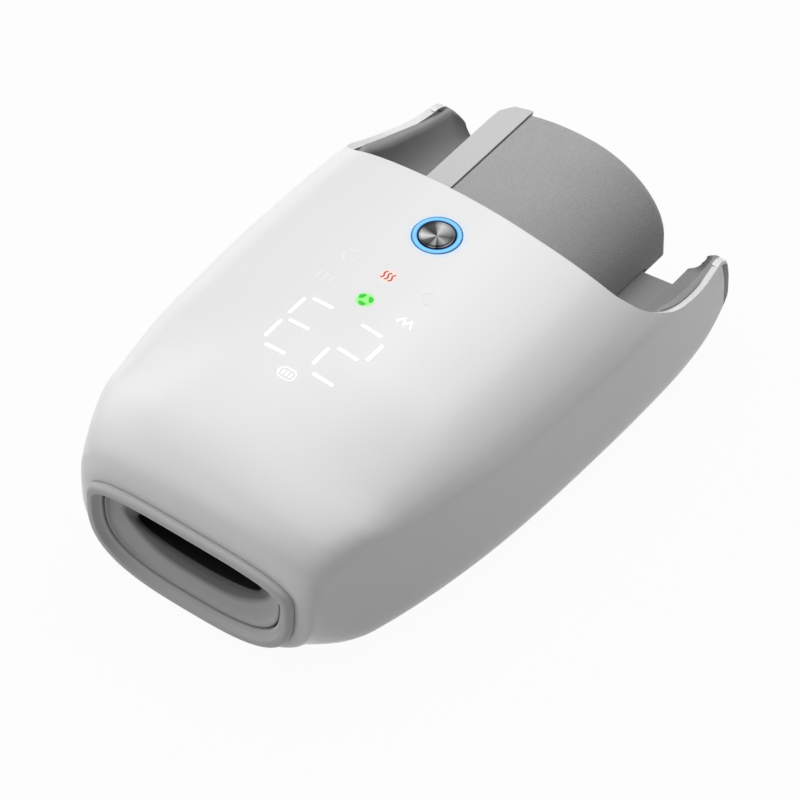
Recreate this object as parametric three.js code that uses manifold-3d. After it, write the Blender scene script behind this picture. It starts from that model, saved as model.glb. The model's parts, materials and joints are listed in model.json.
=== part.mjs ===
// Heated and cooled air-pressure hand massager with a display and one power button.
// Millimetres, +Z up, -Y towards the fingertip window, origin under the middle of the object.

import * as THREE from 'three';
import { mergeVertices } from 'three/addons/utils/BufferGeometryUtils.js';
import Module from 'manifold-3d';

const wasm = await Module();
wasm.setup();

// Clearances and one overrun for all cuts
const FIT = 0.3;
const RUN_OUT = 20;

// Outer body
const BODY_LENGTH = 217.8;
const BODY_WIDTH = 135.9;
const HALF_WIDTH = BODY_WIDTH / 2;
const BODY_TOP = 75;
const BODY_BOTTOM = 1.2;
const SHELL_WALL = 2.4;
const CROWN_HEIGHT = 31;
const REAR_NARROWING = 5.5;
const HORN_CORNER = 3.3;
const FRONT_NARROWING_POWER = 2.77;
const REAR_NARROWING_POWER = 2.1;
const NOSE_RISE_POWER = 2.24;
const REAR_DROP = 4;
const REAR_SWEEP_RUN = 36;
const REAR_SWEEP_RISE = 24.5;
const PALM_OVERHANG = 5;

// Nose of the body, where the fingertip window sits
const NOSE_WIDTH = 86.7;
const NOSE_TOP = 43.8;
const NOSE_BOTTOM = 4.4;
const NOSE_SHOULDER = 32.4;
const NOSE_CORNER = 3;
const NOSE_STEP = 4.8;
const FRONT_NARROWING = HALF_WIDTH - NOSE_WIDTH / 2 - NOSE_STEP;
const NOSE_RUN = 75;
const NOSE_ROUNDING_RUN = 28;
const KEEL_RUN = 28;

// Overall length runs from the window's face to the rear end of the palm rest
const OVERALL_LENGTH = BODY_LENGTH + PALM_OVERHANG;
const NOSE_Y = -OVERALL_LENGTH / 2;
const HORN_END_Y = NOSE_Y + BODY_LENGTH;
const PALM_END_Y = OVERALL_LENGTH / 2;
const BEZEL_DEPTH = 3.2;
const BODY_FRONT_Y = NOSE_Y + BEZEL_DEPTH;
const WIDEST_SHARE = 0.65;
const WIDEST_Y = NOSE_Y + BODY_LENGTH * WIDEST_SHARE;

// Places along the body as shares of its length, with the crown's height as a share of CROWN_HEIGHT
const CROWN_SHARES = [[0, 0.6], [0.1, 0.458], [0.17, 0.66], [0.25, 0.805], [0.4, 0.942], [0.55, 0.978],
  [0.7, 1.038], [0.83, 1.155], [0.93, 1.43], [1, 1.432]];
const STATION_SHARES = [0, 0.004, 0.012, 0.026, 0.05, 0.085, 0.13, 0.18, 0.25, 0.34, 0.45, 0.57,
  0.68, 0.77, 0.84, 0.9, 0.94, 0.966, 0.984, 0.994, 0.9985, 1];
const CROWN_STEPS = 10;
const KEEL_STEPS = 6;
const CROWN_POWER = 2;
const KEEL_POWER = 9.5;
const NOSE_CROWN_POWER = 3.43;
const NOSE_KEEL_POWER = 3;

// Rear hand opening: its edge seen from the side, in shares of the body's length and height
const RIM_REACH = 63;
const RIM_TOP_Y = HORN_END_Y - RIM_REACH;
const RIM_TIP_Z = 37.2;
const RIM_TIP_SETBACK = 5;
const RIM_TIP_Y = HORN_END_Y - RIM_TIP_SETBACK;
const RIM_SHARES = [[0, 1], [0.009, 0.94], [0.028, 0.853], [0.05, 0.76], [0.085, 0.622], [0.117, 0.556],
  [0.171, 0.454], [0.293, 0.304], [0.438, 0.164], [0.617, 0.064], [0.827, 0], [1, 0.012]];
const SCOOP_DEPTH = 11;
const SCOOP_EDGE_DEPTH = 7.5;
const SCOOP_EDGE_MARGIN = 23.95;
const HORN_THICKNESS = 19.45;
const SCOOP_MIDDLE_Y = HORN_END_Y - SCOOP_DEPTH;
const SCOOP_EDGE_Y = HORN_END_Y - SCOOP_EDGE_DEPTH;
const SCOOP_EDGE_X = HALF_WIDTH - SCOOP_EDGE_MARGIN;
const SCOOP_HORN_X = HALF_WIDTH - HORN_THICKNESS;
const SCOOP_SHARES = [[0.4, 0.16], [0.75, 0.56], [1, 1]];
const SEAM_RISE = 3;
const HORN_CAP_DEPTH = 5.5;
const SEAM_REAR_Y = HORN_END_Y - HORN_CAP_DEPTH;

// Hand space between the liners
const LINER_THICKNESS = 3.8;
const HAND_FLOOR_Z = 17;
const HAND_SHOULDER_Z = 45;
const HAND_SPACE_TOP = 60;
const HAND_POWER = 3;
const HAND_STEPS = 9;
const HAND_FRONT_SETBACK = 15;
const HAND_FRONT_Y = NOSE_Y + HAND_FRONT_SETBACK;
const LINER_TOP_Z = 57;
const LINER_FRONT_SETBACK = 51;
const LINER_FRONT_Y = NOSE_Y + LINER_FRONT_SETBACK;
const DECK_SIDE_MARGIN = 23.35;
const DECK_HALF_WIDTH = HALF_WIDTH - DECK_SIDE_MARGIN;
const DECK_THICKNESS = 2.5;

// Fingertip window: a rounded ring, then a shallow dish with a slot in it
const BEZEL_ROUND = 2;
const BEZEL_LIP = 3.2;
const BEZEL_BEVEL = 2.6;
const BEZEL_SEAT = 5.8;
const BEZEL_SPIGOT = 4.5;
const BEZEL_SPIGOT_TAPER = 1.6;
const FUNNEL_DEPTH = 12.8;
const FUNNEL_WALL = 2;
const FUNNEL_RIM = 0.8;
const DISH_DEPTH = 4.2;
const DISH_SHARES = [[0, 0], [0.06, 0.3], [0.3, 0.52], [0.65, 0.68], [0.92, 0.86], [1, 1]];
const THROAT_HALF_WIDTH = 26;
const THROAT_BOTTOM = 23;
const THROAT_TOP = 34.5;

// Palm rest
const PALM_LEFT_X = -36.5;
const PALM_LIP_X = -26.7;
const PALM_RIGHT_X = 31.5;
const PALM_CREST_X = -1;
const PALM_TOP = 51;
const PALM_BELT_Z = 24;
const PALM_LEFT_RUN = 48;
const PALM_LIP_Z = 47.4;
const PALM_LIP_PLATE = 1.4;
const PALM_CORNER = 9;
const PALM_FRONT_TOP = 32;
const PALM_SLOPE_RUN = 78;
const PALM_WALL = 2.2;
const PALM_UNDERSIDE_Z = 13;
const PALM_STEPS = 6;
const PALM_STATION_SHARES = [0, 0.012, 0.035, 0.07, 0.13, 0.22, 0.32, 0.42, 0.52, 0.62, 0.78, 0.95, 0.985, 1];
const CUSHION_THICKNESS = 5;
const CUSHION_DRAW_SHARE = 0.6;
const HEATER_THICKNESS = 0.5;
const HEATER_WIDTH = 40;
const HEATER_SETBACK = 20;

// Power button and its ring of light
const BUTTON_SETBACK = 20.4;
const BUTTON_Y = RIM_TOP_Y - BUTTON_SETBACK;
const BUTTON_DIAMETER = 12.4;
const BUTTON_TRAVEL = 0.8;
const BUTTON_HEIGHT = 2.6;
const BUTTON_DISH = 0.5;
const BUTTON_PROUD = 0.3;
const BUTTON_DISH_SHARE = 0.86;
const BUTTON_STEM_DIAMETER = 4;
const RING_DIAMETER = 17;
const RING_FLANGE = 1.5;
const RING_FLANGE_THICKNESS = 1.2;
const SWITCH_SIDE = 6;
const SWITCH_HEIGHT = 2.7;
const SWITCH_PIN_DIAMETER = 3;
const SWITCH_PIN_HEIGHT = 0.6;

// Display behind the top shell
const BOARD_TOP_Z = 67.1;
const BOARD_THICKNESS = 1.2;
const BOARD_WIDTH = 43.6;
const BOARD_FRONT_SETBACK = 49;
const BOARD_REAR_SETBACK = 10;
const BOARD_FRONT_Y = NOSE_Y + BOARD_FRONT_SETBACK;
const BOARD_REAR_Y = RIM_TOP_Y - BOARD_REAR_SETBACK;
const BOARD_POST_DIAMETER = 5;
const BOARD_POST_INSET = 4;
const GUIDE_WIDTH = 40;
const GUIDE_FRONT_SETBACK = 8;
const GUIDE_REAR_SETBACK = 18.6;
const GUIDE_FRONT_Y = BOARD_FRONT_Y + GUIDE_FRONT_SETBACK;
const GUIDE_REAR_Y = BUTTON_Y - GUIDE_REAR_SETBACK;
const GUIDE_TOP_Z = 70.9;
const GUIDE_CELL = 10;
const GUIDE_WEB = 1.4;

// Ceiling of the hand space
const CARRIER_INSET = 9.4;
const CARRIER_THICKNESS = 2;
const CARRIER_FRONT_SETBACK = 29;
const CARRIER_REAR_SETBACK = 9;
const CARRIER_FRONT_Y = NOSE_Y + CARRIER_FRONT_SETBACK;
const CARRIER_REAR_Y = RIM_TOP_Y - CARRIER_REAR_SETBACK;
const AIRBAG_THICKNESS = 3;
const AIRBAG_EDGE_Z = 56;
const AIRBAG_MARGIN = 5;

// Finger pad on the deck
const FINGER_PAD_WIDTH = 70;
const FINGER_PAD_LENGTH = 26;
const FINGER_PAD_SETBACK = 8;
const FINGER_PAD_REAR_Y = HAND_FRONT_Y + FINGER_PAD_SETBACK + FINGER_PAD_LENGTH;
const FINGER_PAD_HEIGHT = 4.5;
const FINGER_PAD_POWER = 4;
const FINGER_PAD_STEPS = 7;
const FINGER_PAD_LEVEL_SHARES = [[0, 0.96], [0.35, 1], [0.7, 0.97], [0.92, 0.86], [1, 0.6]];

// Battery
const CELL_DIAMETER = 18.3;
const CELL_LENGTH = 65;
const CELL_PITCH = 20.5;
const CELLS_X = -5.5;
const CELL_TIP = 1.2;
const CELL_TIP_DIAMETER = 6;
const HOLDER_WALL = 1.6;
const HOLDER_HEIGHT = 8;
const STANDOFF_DIAMETER = 4.5;

// Main circuit board over the battery
const MAIN_BOARD_Z = 29.5;
const MAIN_BOARD_WIDTH = 44;
const MAIN_BOARD_LENGTH = 68;
const MAIN_BOARD_END_GAP = 0.8;
const MAIN_BOARD_FRONT_Y = PALM_END_Y - PALM_WALL - MAIN_BOARD_END_GAP - MAIN_BOARD_LENGTH;
const MAIN_BOARD_THICKNESS = 1.6;
const REAR_POST_X = 15;
const CHIP_SHARES = [[0.3, 0.3], [0.62, 0.5], [0.35, 0.7]];
const CAPACITOR_SHARES = [[0.6, 0.22], [0.75, 0.28]];
const CHIP_SIDE = 9;
const CHIP_HEIGHT = 1.2;
const CAPACITOR_DIAMETER = 6;
const CAPACITOR_HEIGHT = 7;

// Charging socket in the rear wall of the palm rest
const SOCKET_WIDTH = 9;
const SOCKET_HEIGHT = 3.2;
const SOCKET_LENGTH = 8;
const SOCKET_WALL = 0.5;
const SOCKET_X = -5.5;

// Air pump, lying across the palm rest
const PUMP_SETBACK = 39;
const PUMP_Y = PALM_END_Y - PUMP_SETBACK;
const PUMP_Z = 16.8;
const MOTOR_DIAMETER = 20.4;
const MOTOR_LENGTH = 25.5;
const PUMP_HEAD_SIDE = 21;
const PUMP_HEAD_LENGTH = 18;
const PUMP_CHAMBER_DIAMETER = 17;
const PUMP_CHAMBER_DEPTH = 10;
const PUMP_SHAFT_DIAMETER = 2;
const PUMP_SHAFT_SOCKET = 6;
const CRANK_DIAMETER = 9;
const CRANK_THICKNESS = 4;
const CRANK_OFFSET = 1.5;
const NOZZLE_DIAMETER = 1.8;
const NOZZLE_LENGTH = 5;
const NOZZLE_ROOT = 2;
const PUMP_OUTLET_DROP = 6.6;
const CRADLE_WIDTH = 16;
const CRADLE_LENGTH = 18;
const CRADLE_HEIGHT = 6;

// Air release valve with its sliding plunger
const VALVE_SIDE = 9.6;
const VALVE_LENGTH = 18;
const VALVE_X = 31;
const VALVE_SETBACK = 34;
const VALVE_FRONT_Y = PUMP_Y - VALVE_SETBACK;
const VALVE_BORE = 5.8;
const VALVE_BORE_DEPTH = 14;
const PLUNGER_DIAMETER = 5.2;
const PLUNGER_LENGTH = 12;
const PLUNGER_TRAVEL = 1.2;
const PLUNGER_HEAD_DIAMETER = 7;
const PLUNGER_HEAD_HEIGHT = 1.4;

// Air hoses
const HOSE_BORE = 2.4;
const HOSE_OUTER = 4;
const HOSE_STEP_SHARE = 1.8;
const HOSE_RISE_SETBACK = 10;
const HOSE_RISE_Y = LINER_FRONT_Y - HOSE_RISE_SETBACK;
const HOSE_START_GAP = 2;
const HOSE_WALL_GAP = 2;
const HOSE_CARRIER_REACH = 8;
const HOSE_TOP_Z = 52;

// Cooling fan under the deck
const FAN_SIDE = 40;
const FAN_HEIGHT = 10;
const FAN_BORE = 37.6;
const FAN_HUB_DIAMETER = 15;
const FAN_BLADE_COUNT = 7;
const FAN_BLADE_TIP_GAP = 0.8;
const FAN_BLADE_THICKNESS = 1;
const FAN_BLADE_TILT = THREE.MathUtils.degToRad(38);
const FAN_PLATE = 1.4;
const FAN_STRUT = 2.4;
const FAN_PIN_DIAMETER = 2;
const FAN_PIN_SHARE = 0.7;
const VENT_SLOT_WIDTH = 2.6;
const VENT_SLOT_PITCH = 5.4;
const VENT_SLOT_COUNT = 6;
const VENT_ROUND_SHARE = 0.92;

// Vibration motor between the fan and the battery
const SHAKER_DIAMETER = 8;
const SHAKER_LENGTH = 16;
const SHAKER_SHAFT_DIAMETER = 1.5;
const SHAKER_SHAFT_SOCKET = 5;
const WEIGHT_RADIUS = 3.6;
const WEIGHT_LENGTH = 5;
const WEIGHT_GAP = 1.2;
const SHAKER_SEAT_WIDTH = 10;
const SHAKER_SEAT_LENGTH = 5;
const SHAKER_SEAT_SHARES = [0.2, 0.8];

// Feet and screws
const FOOT_DIAMETER = 12;
const FOOT_RECESS = 1;
const FOOT_SIDE_MARGIN = 21.95;
const FOOT_FRONT_MARGIN = 49;
const FOOT_REAR_MARGIN = 40;
const FOOT_X = HALF_WIDTH - FOOT_SIDE_MARGIN;
const FOOT_FRONT_Y = NOSE_Y + FOOT_FRONT_MARGIN;
const FOOT_REAR_Y = HORN_END_Y - FOOT_REAR_MARGIN;
const BOSS_DIAMETER = 7;
const BOSS_BORE = 3.4;
const MOTOR_SCREW_REACH = 5;
const MOTOR_LEFT_X = -33;
const SCREW_FRONT_MARGIN = 39;
const SCREW_REAR_MARGIN = 28;
const SCREW_X = MOTOR_SCREW_REACH - MOTOR_LEFT_X;
const SCREW_FRONT_Y = NOSE_Y + SCREW_FRONT_MARGIN;
const SCREW_REAR_Y = HORN_END_Y - SCREW_REAR_MARGIN;
const SCREW_HEAD_DIAMETER = 5.2;
const SCREW_HEAD_HEIGHT = 1.6;
const SCREW_DIAMETER = 2.7;
const SCREW_LENGTH = 9;
const SCREW_WELL_DIAMETER = 6;
const SCREW_WELL_DEPTH = 1.9;

// Numbers of sides on round pieces
const ROUND_SIDES = 24;
const SMALL_SIDES = 12;

const BASE_FLOOR_Z = BODY_BOTTOM + SHELL_WALL;
const DECK_UNDERSIDE_Z = HAND_FLOOR_Z - DECK_THICKNESS;

// Row of inner pieces under the palm rest, placed forward from the pump
const CELL_PUMP_GAP = 3.5;
const FAN_HOLDER_GAP = 13;
const PALM_FRONT_MARGIN = 13;
const CELLS_FRONT_Y = PUMP_Y - PUMP_HEAD_SIDE / 2 - CELL_PUMP_GAP - CELL_LENGTH;
const HOLDER_FRONT_Y = CELLS_FRONT_Y - FIT - HOLDER_WALL;
const SHAKER_Y = HOLDER_FRONT_Y - FAN_HOLDER_GAP / 2;
const FAN_Y = HOLDER_FRONT_Y - FAN_HOLDER_GAP - FAN_SIDE / 2;
const PALM_FRONT_Y = CELLS_FRONT_Y - PALM_FRONT_MARGIN;
const PALM_SLOPE_END_Y = PALM_FRONT_Y + PALM_SLOPE_RUN;
const HEATER_FRONT_Y = PALM_FRONT_Y + HEATER_SETBACK;

// Colours and finishes
const WHITE_GLOSS = { color: 0xe9e9ea, roughness: 0.25, metalness: 0 };
const MID_GREY = { color: 0x8c8d8f, roughness: 0.5, metalness: 0 };
const LIGHT_GREY = { color: 0xc4c5c6, roughness: 0.45, metalness: 0 };
const FABRIC_GREY = { color: 0x97989a, roughness: 0.95, metalness: 0 };
const BOARD_GREEN = { color: 0x1f5b3a, roughness: 0.6, metalness: 0 };
const STEEL = { color: 0xb8bcc0, roughness: 0.3, metalness: 1 };
const DARK_PLASTIC = { color: 0x26282a, roughness: 0.6, metalness: 0 };
const BLACK_RUBBER = { color: 0x1d1d1e, roughness: 0.9, metalness: 0 };
const CLEAR_SILICONE = { color: 0xd9dde0, roughness: 0.4, metalness: 0 };
const BLUE_LIGHT = { color: 0x66c4fb, roughness: 0.3, metalness: 0 };
const CELL_WRAP = { color: 0x2f6fb0, roughness: 0.4, metalness: 0 };
const COPPER_FILM = { color: 0xc07a35, roughness: 0.5, metalness: 0 };

// Small helpers for numbers

function clamp01(value) {
  return Math.min(1, Math.max(0, value));
}

function smooth(value) {
  const t = clamp01(value);
  return t * t * (3 - 2 * t);
}

// Reads a table of pairs, with straight steps between them
function tableAt(pairs, place) {
  for (let i = 1; i < pairs.length; i += 1) {
    const [fromPlace, fromValue] = pairs[i - 1];
    const [toPlace, toValue] = pairs[i];
    if (place <= toPlace) {
      return fromValue + (toValue - fromValue) * clamp01((place - fromPlace) / (toPlace - fromPlace));
    }
  }
  return pairs[pairs.length - 1][1];
}

// How far a round corner of this radius has drawn in after a run into it
function roundDrop(radius, run) {
  const reach = clamp01(run / radius);
  return radius * (1 - Math.sqrt(1 - reach * reach));
}

// Solids and the joins and cuts between them

function solidOf(geometry) {
  const bare = geometry.clone();
  bare.deleteAttribute('normal');
  bare.deleteAttribute('uv');
  const merged = mergeVertices(bare);
  return new wasm.Manifold(new wasm.Mesh({
    numProp: 3,
    vertProperties: new Float32Array(merged.attributes.position.array),
    triVerts: new Uint32Array(merged.index.array),
  }));
}

function geometryOf(solid) {
  const mesh = solid.getMesh();
  const geometry = new THREE.BufferGeometry();
  geometry.setAttribute('position', new THREE.BufferAttribute(mesh.vertProperties, 3));
  geometry.setIndex(new THREE.BufferAttribute(mesh.triVerts, 1));
  geometry.computeVertexNormals();
  return geometry;
}

function joined(solids) {
  return solids.reduce((whole, solid) => whole.add(solid));
}

// A box between two corners
function boxSolid(low, high) {
  const size = high.map((value, axis) => value - low[axis]);
  const geometry = new THREE.BoxGeometry(...size);
  geometry.translate(...low.map((value, axis) => value + size[axis] / 2));
  return solidOf(geometry);
}

// A cylinder standing on a point, along an axis
function rodSolid(diameter, length, base, axis = 'z', sides = ROUND_SIDES) {
  const geometry = new THREE.CylinderGeometry(diameter / 2, diameter / 2, length, sides);
  geometry.translate(0, length / 2, 0);
  if (axis === 'z') geometry.rotateX(Math.PI / 2);
  if (axis === 'x') geometry.rotateZ(-Math.PI / 2);
  geometry.translate(...base);
  return solidOf(geometry);
}

// A closed skin over a row of rings that all have the same number of points
function loftSolid(rings) {
  const count = rings[0].length;
  const positions = rings.flat().flat();
  const indices = [];
  for (let r = 0; r < rings.length - 1; r += 1) {
    for (let i = 0; i < count; i += 1) {
      const a = r * count + i;
      const b = r * count + ((i + 1) % count);
      indices.push(a, b, a + count, b, b + count, a + count);
    }
  }
  const lastRing = (rings.length - 1) * count;
  capFaces(rings[0]).forEach(([a, b, c]) => indices.push(c, b, a));
  capFaces(rings[rings.length - 1]).forEach((face) => {
    indices.push(...face.map((index) => lastRing + index));
  });
  const geometry = new THREE.BufferGeometry();
  geometry.setAttribute('position', new THREE.Float32BufferAttribute(positions, 3));
  geometry.setIndex(facesOutward(positions, indices));
  return solidOf(geometry);
}

// Triangles over a flat ring, wound the same way as its own points
function capFaces(ring) {
  const flatAxis = [0, 1, 2].find((axis) => ring.every((point) => point[axis] === ring[0][axis]));
  const [across, up] = [0, 1, 2].filter((axis) => axis !== flatAxis);
  const contour = ring.map((point) => new THREE.Vector2(point[across], point[up]));
  const turned = THREE.ShapeUtils.area(contour) < 0;
  const faces = THREE.ShapeUtils.triangulateShape(turned ? [...contour].reverse() : contour, []);
  const last = ring.length - 1;
  return turned ? faces.map(([a, b, c]) => [last - c, last - b, last - a]) : faces;
}

// Turns every face over if the skin encloses a negative volume
function facesOutward(positions, indices) {
  const corner = (index) => new THREE.Vector3().fromArray(positions, 3 * index);
  let volume = 0;
  for (let i = 0; i < indices.length; i += 3) {
    const [a, b, c] = [corner(indices[i]), corner(indices[i + 1]), corner(indices[i + 2])];
    volume += a.dot(b.cross(c));
  }
  return volume < 0 ? [...indices].reverse() : indices;
}

// A flat outline of [a, b] points pushed along one axis
function outlineShape(points) {
  return new THREE.Shape(points.map(([a, b]) => new THREE.Vector2(a, b)));
}

// An outline drawn in the YZ plane and pushed right across the body
function sidePrism(points, halfWidth = HALF_WIDTH + RUN_OUT) {
  const shape = outlineShape(points);
  const geometry = new THREE.ExtrudeGeometry(shape, { depth: 2 * halfWidth, bevelEnabled: false });
  const turn = new THREE.Matrix4().makeBasis(
    new THREE.Vector3(0, 1, 0),
    new THREE.Vector3(0, 0, 1),
    new THREE.Vector3(1, 0, 0),
  );
  geometry.applyMatrix4(turn);
  geometry.translate(-halfWidth, 0, 0);
  return solidOf(geometry);
}

// An outline drawn in the XY plane and raised between two heights
function planPrism(points, bottom, top) {
  const depth = top - bottom;
  const geometry = new THREE.ExtrudeGeometry(outlineShape(points), { depth, bevelEnabled: false });
  geometry.translate(0, 0, bottom);
  return solidOf(geometry);
}

// One quarter of a superellipse, as points across and up; quarter 0 starts at the right
function ovalQuarter(half, height, quarter, steps, power) {
  const points = [];
  for (let i = 0; i < steps; i += 1) {
    const angle = (Math.PI / 2) * (quarter + i / steps);
    const c = Math.cos(angle);
    const s = Math.sin(angle);
    points.push([
      half * Math.sign(c) * Math.abs(c) ** (2 / power),
      height * Math.sign(s) * Math.abs(s) ** (2 / power),
    ]);
  }
  return points;
}

// Outer body: its half width, top, shoulder and bottom at a place along it

function bodyHalfWidth(y) {
  const front = clamp01((WIDEST_Y - y) / (WIDEST_Y - BODY_FRONT_Y));
  const rear = clamp01((y - WIDEST_Y) / (HORN_END_Y - WIDEST_Y));
  const noseSide = HALF_WIDTH - FRONT_NARROWING;
  const noseStep = (noseSide - NOSE_WIDTH / 2) / NOSE_CORNER;
  const drawnIn = FRONT_NARROWING * front ** FRONT_NARROWING_POWER
    + REAR_NARROWING * rear ** REAR_NARROWING_POWER;
  const noseRound = noseStep * roundDrop(NOSE_CORNER, BODY_FRONT_Y + NOSE_CORNER - y);
  return HALF_WIDTH - drawnIn - noseRound - roundDrop(HORN_CORNER, y - HORN_END_Y + HORN_CORNER);
}

function bodyTop(y) {
  const rise = 1 - clamp01((y - BODY_FRONT_Y) / NOSE_RUN);
  const fall = clamp01((y - RIM_TOP_Y) / (HORN_END_Y - RIM_TOP_Y));
  const climbed = (1 - rise * rise) ** (1 / NOSE_RISE_POWER);
  return NOSE_TOP + (BODY_TOP - NOSE_TOP) * climbed - REAR_DROP * fall * fall;
}

function bodyShoulder(y) {
  const crown = CROWN_HEIGHT * tableAt(CROWN_SHARES, (y - BODY_FRONT_Y) / BODY_LENGTH);
  const shoulder = bodyTop(y) - crown;
  const nose = smooth((y - BODY_FRONT_Y) / NOSE_CORNER);
  return NOSE_SHOULDER + (shoulder - NOSE_SHOULDER) * nose;
}

function bodyBottom(y) {
  const keel = 1 - smooth((y - BODY_FRONT_Y) / KEEL_RUN);
  const sweep = clamp01((y - HORN_END_Y + REAR_SWEEP_RUN) / REAR_SWEEP_RUN);
  const swept = REAR_SWEEP_RISE * (1 - Math.sqrt(1 - sweep * sweep));
  return BODY_BOTTOM + (NOSE_BOTTOM - BODY_BOTTOM) * keel + swept;
}

// Height of the inner floor, with a gap, at a place along the base
function innerFloor(y) {
  return bodyBottom(y + SHELL_WALL) + SHELL_WALL + 2 * FIT;
}

// One ring of the body, drawn in by an inset on every side
function bodyRing(y, inset) {
  const places = [y - inset, y, y + inset]
    .map((place) => THREE.MathUtils.clamp(place, BODY_FRONT_Y, HORN_END_Y));
  const half = Math.min(...places.map(bodyHalfWidth)) - inset;
  const top = Math.min(...places.map(bodyTop)) - inset;
  const bottom = Math.max(...places.map(bodyBottom)) + inset;
  const shoulder = THREE.MathUtils.clamp(bodyShoulder(y), bottom + inset, top - inset);
  const blunt = 1 - smooth((y - BODY_FRONT_Y) / NOSE_ROUNDING_RUN);
  const crownPower = CROWN_POWER + (NOSE_CROWN_POWER - CROWN_POWER) * blunt;
  const keelPower = NOSE_KEEL_POWER + (KEEL_POWER - NOSE_KEEL_POWER) * smooth((y - BODY_FRONT_Y) / KEEL_RUN);
  const above = top - shoulder;
  const below = shoulder - bottom;
  return [
    ...ovalQuarter(half, above, 0, CROWN_STEPS, crownPower),
    ...ovalQuarter(half, above, 1, CROWN_STEPS, crownPower),
    ...ovalQuarter(half, below, 2, KEEL_STEPS, keelPower),
    ...ovalQuarter(half, below, 3, KEEL_STEPS, keelPower),
  ].map(([x, z]) => [x, y, shoulder + z]);
}

// The body as a solid, between two places along it
function bodySolid(inset = 0, from = BODY_FRONT_Y, to = HORN_END_Y) {
  return loftSolid(bodyStations(from, to).map((y) => bodyRing(y, inset)));
}

// Places of the rings between two ends
function bodyStations(from, to) {
  const between = STATION_SHARES.map((share) => BODY_FRONT_Y + (HORN_END_Y - BODY_FRONT_Y) * share)
    .filter((y) => y > from + FIT && y < to - FIT);
  return [from, ...between, to];
}

// Side outlines that part the shells

function rimOutline() {
  return RIM_SHARES.map(([along, up]) => [
    RIM_TOP_Y + (RIM_TIP_Y - RIM_TOP_Y) * along,
    RIM_TIP_Z + (BODY_TOP + FIT - RIM_TIP_Z) * up,
  ]);
}

// Everything above and behind the edge of the hand opening
function openingPrism() {
  const rear = HORN_END_Y + RUN_OUT;
  const high = BODY_TOP + RUN_OUT;
  return sidePrism([[RIM_TOP_Y, high], ...rimOutline(), [rear, RIM_TIP_Z], [rear, high]]);
}

// The seam between the white shell and the grey base, raised by a gap
function seamOutline(gap) {
  const points = [];
  for (const y of bodyStations(BODY_FRONT_Y, SEAM_REAR_Y - gap).slice(0, -1)) {
    points.push([y, bodyBottom(y) + SEAM_RISE + gap]);
  }
  points.push([SEAM_REAR_Y - gap, bodyBottom(SEAM_REAR_Y) + SEAM_RISE + gap]);
  return points;
}

function coverPrism() {
  const front = BODY_FRONT_Y + FIT;
  const high = BODY_TOP + RUN_OUT;
  const seam = seamOutline(0).filter(([y]) => y > front);
  return sidePrism([[front, high], [front, seam[0][1]], ...seam, [SEAM_REAR_Y, high]]);
}

function basePrism() {
  const front = BODY_FRONT_Y + FIT;
  const seam = seamOutline(-FIT).filter(([y]) => y > front);
  const rear = HORN_END_Y + RUN_OUT;
  const low = -RUN_OUT;
  const rearFace = SEAM_REAR_Y + FIT;
  return sidePrism([[front, low], [rear, low], [rear, BODY_TOP], [rearFace, BODY_TOP],
    ...seam.reverse(), [front, seam[seam.length - 1][1]]]);
}

// The space between the horns, where the base alone makes the wall
function middleBox(gap) {
  const half = SCOOP_HORN_X - gap;
  return boxSolid([-half, RIM_TOP_Y + gap, -RUN_OUT], [half, HORN_END_Y + RUN_OUT, HAND_SHOULDER_Z]);
}

// The scooped rear edge between the horns, moved forward by a wall where asked
function scoopPrism(forward, spread = 0) {
  const half = [
    [0, SCOOP_MIDDLE_Y],
    ...SCOOP_SHARES.map(([across, back]) => [
      SCOOP_EDGE_X * across,
      SCOOP_MIDDLE_Y + (SCOOP_EDGE_Y - SCOOP_MIDDLE_Y) * back,
    ]),
    [(SCOOP_EDGE_X + SCOOP_HORN_X) / 2, (SCOOP_EDGE_Y + SEAM_REAR_Y) / 2],
    [SCOOP_HORN_X, HORN_END_Y - HORN_CORNER / 2],
    [SCOOP_HORN_X, HORN_END_Y + RUN_OUT],
  ].map(([x, y]) => [x === 0 ? 0 : x + spread, y - forward]);
  const mirrored = half.slice(1).map(([x, y]) => [-x, y]).reverse();
  return planPrism([...mirrored, ...half], -RUN_OUT, BODY_TOP + RUN_OUT);
}

// The hand space, grown outwards by a wall where asked

function handRing(y, grow) {
  const half = bodyHalfWidth(THREE.MathUtils.clamp(y, NOSE_Y, HORN_END_Y)) - SHELL_WALL - FIT
    - LINER_THICKNESS + grow;
  const depth = HAND_SHOULDER_Z - HAND_FLOOR_Z + grow;
  const ring = [[half, y, HAND_SPACE_TOP], [-half, y, HAND_SPACE_TOP]];
  for (let i = 0; i <= 2 * HAND_STEPS; i += 1) {
    const angle = Math.PI + (Math.PI / 2) * (i / HAND_STEPS);
    const c = Math.cos(angle);
    const s = Math.sin(angle);
    ring.push([
      half * Math.sign(c) * Math.abs(c) ** (2 / HAND_POWER),
      y,
      HAND_SHOULDER_Z - depth * Math.abs(s) ** (2 / HAND_POWER),
    ]);
  }
  return ring;
}

function handSolid(grow, from, to = HORN_END_Y) {
  return loftSolid(bodyStations(from, to).map((y) => handRing(y, grow)));
}

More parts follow.
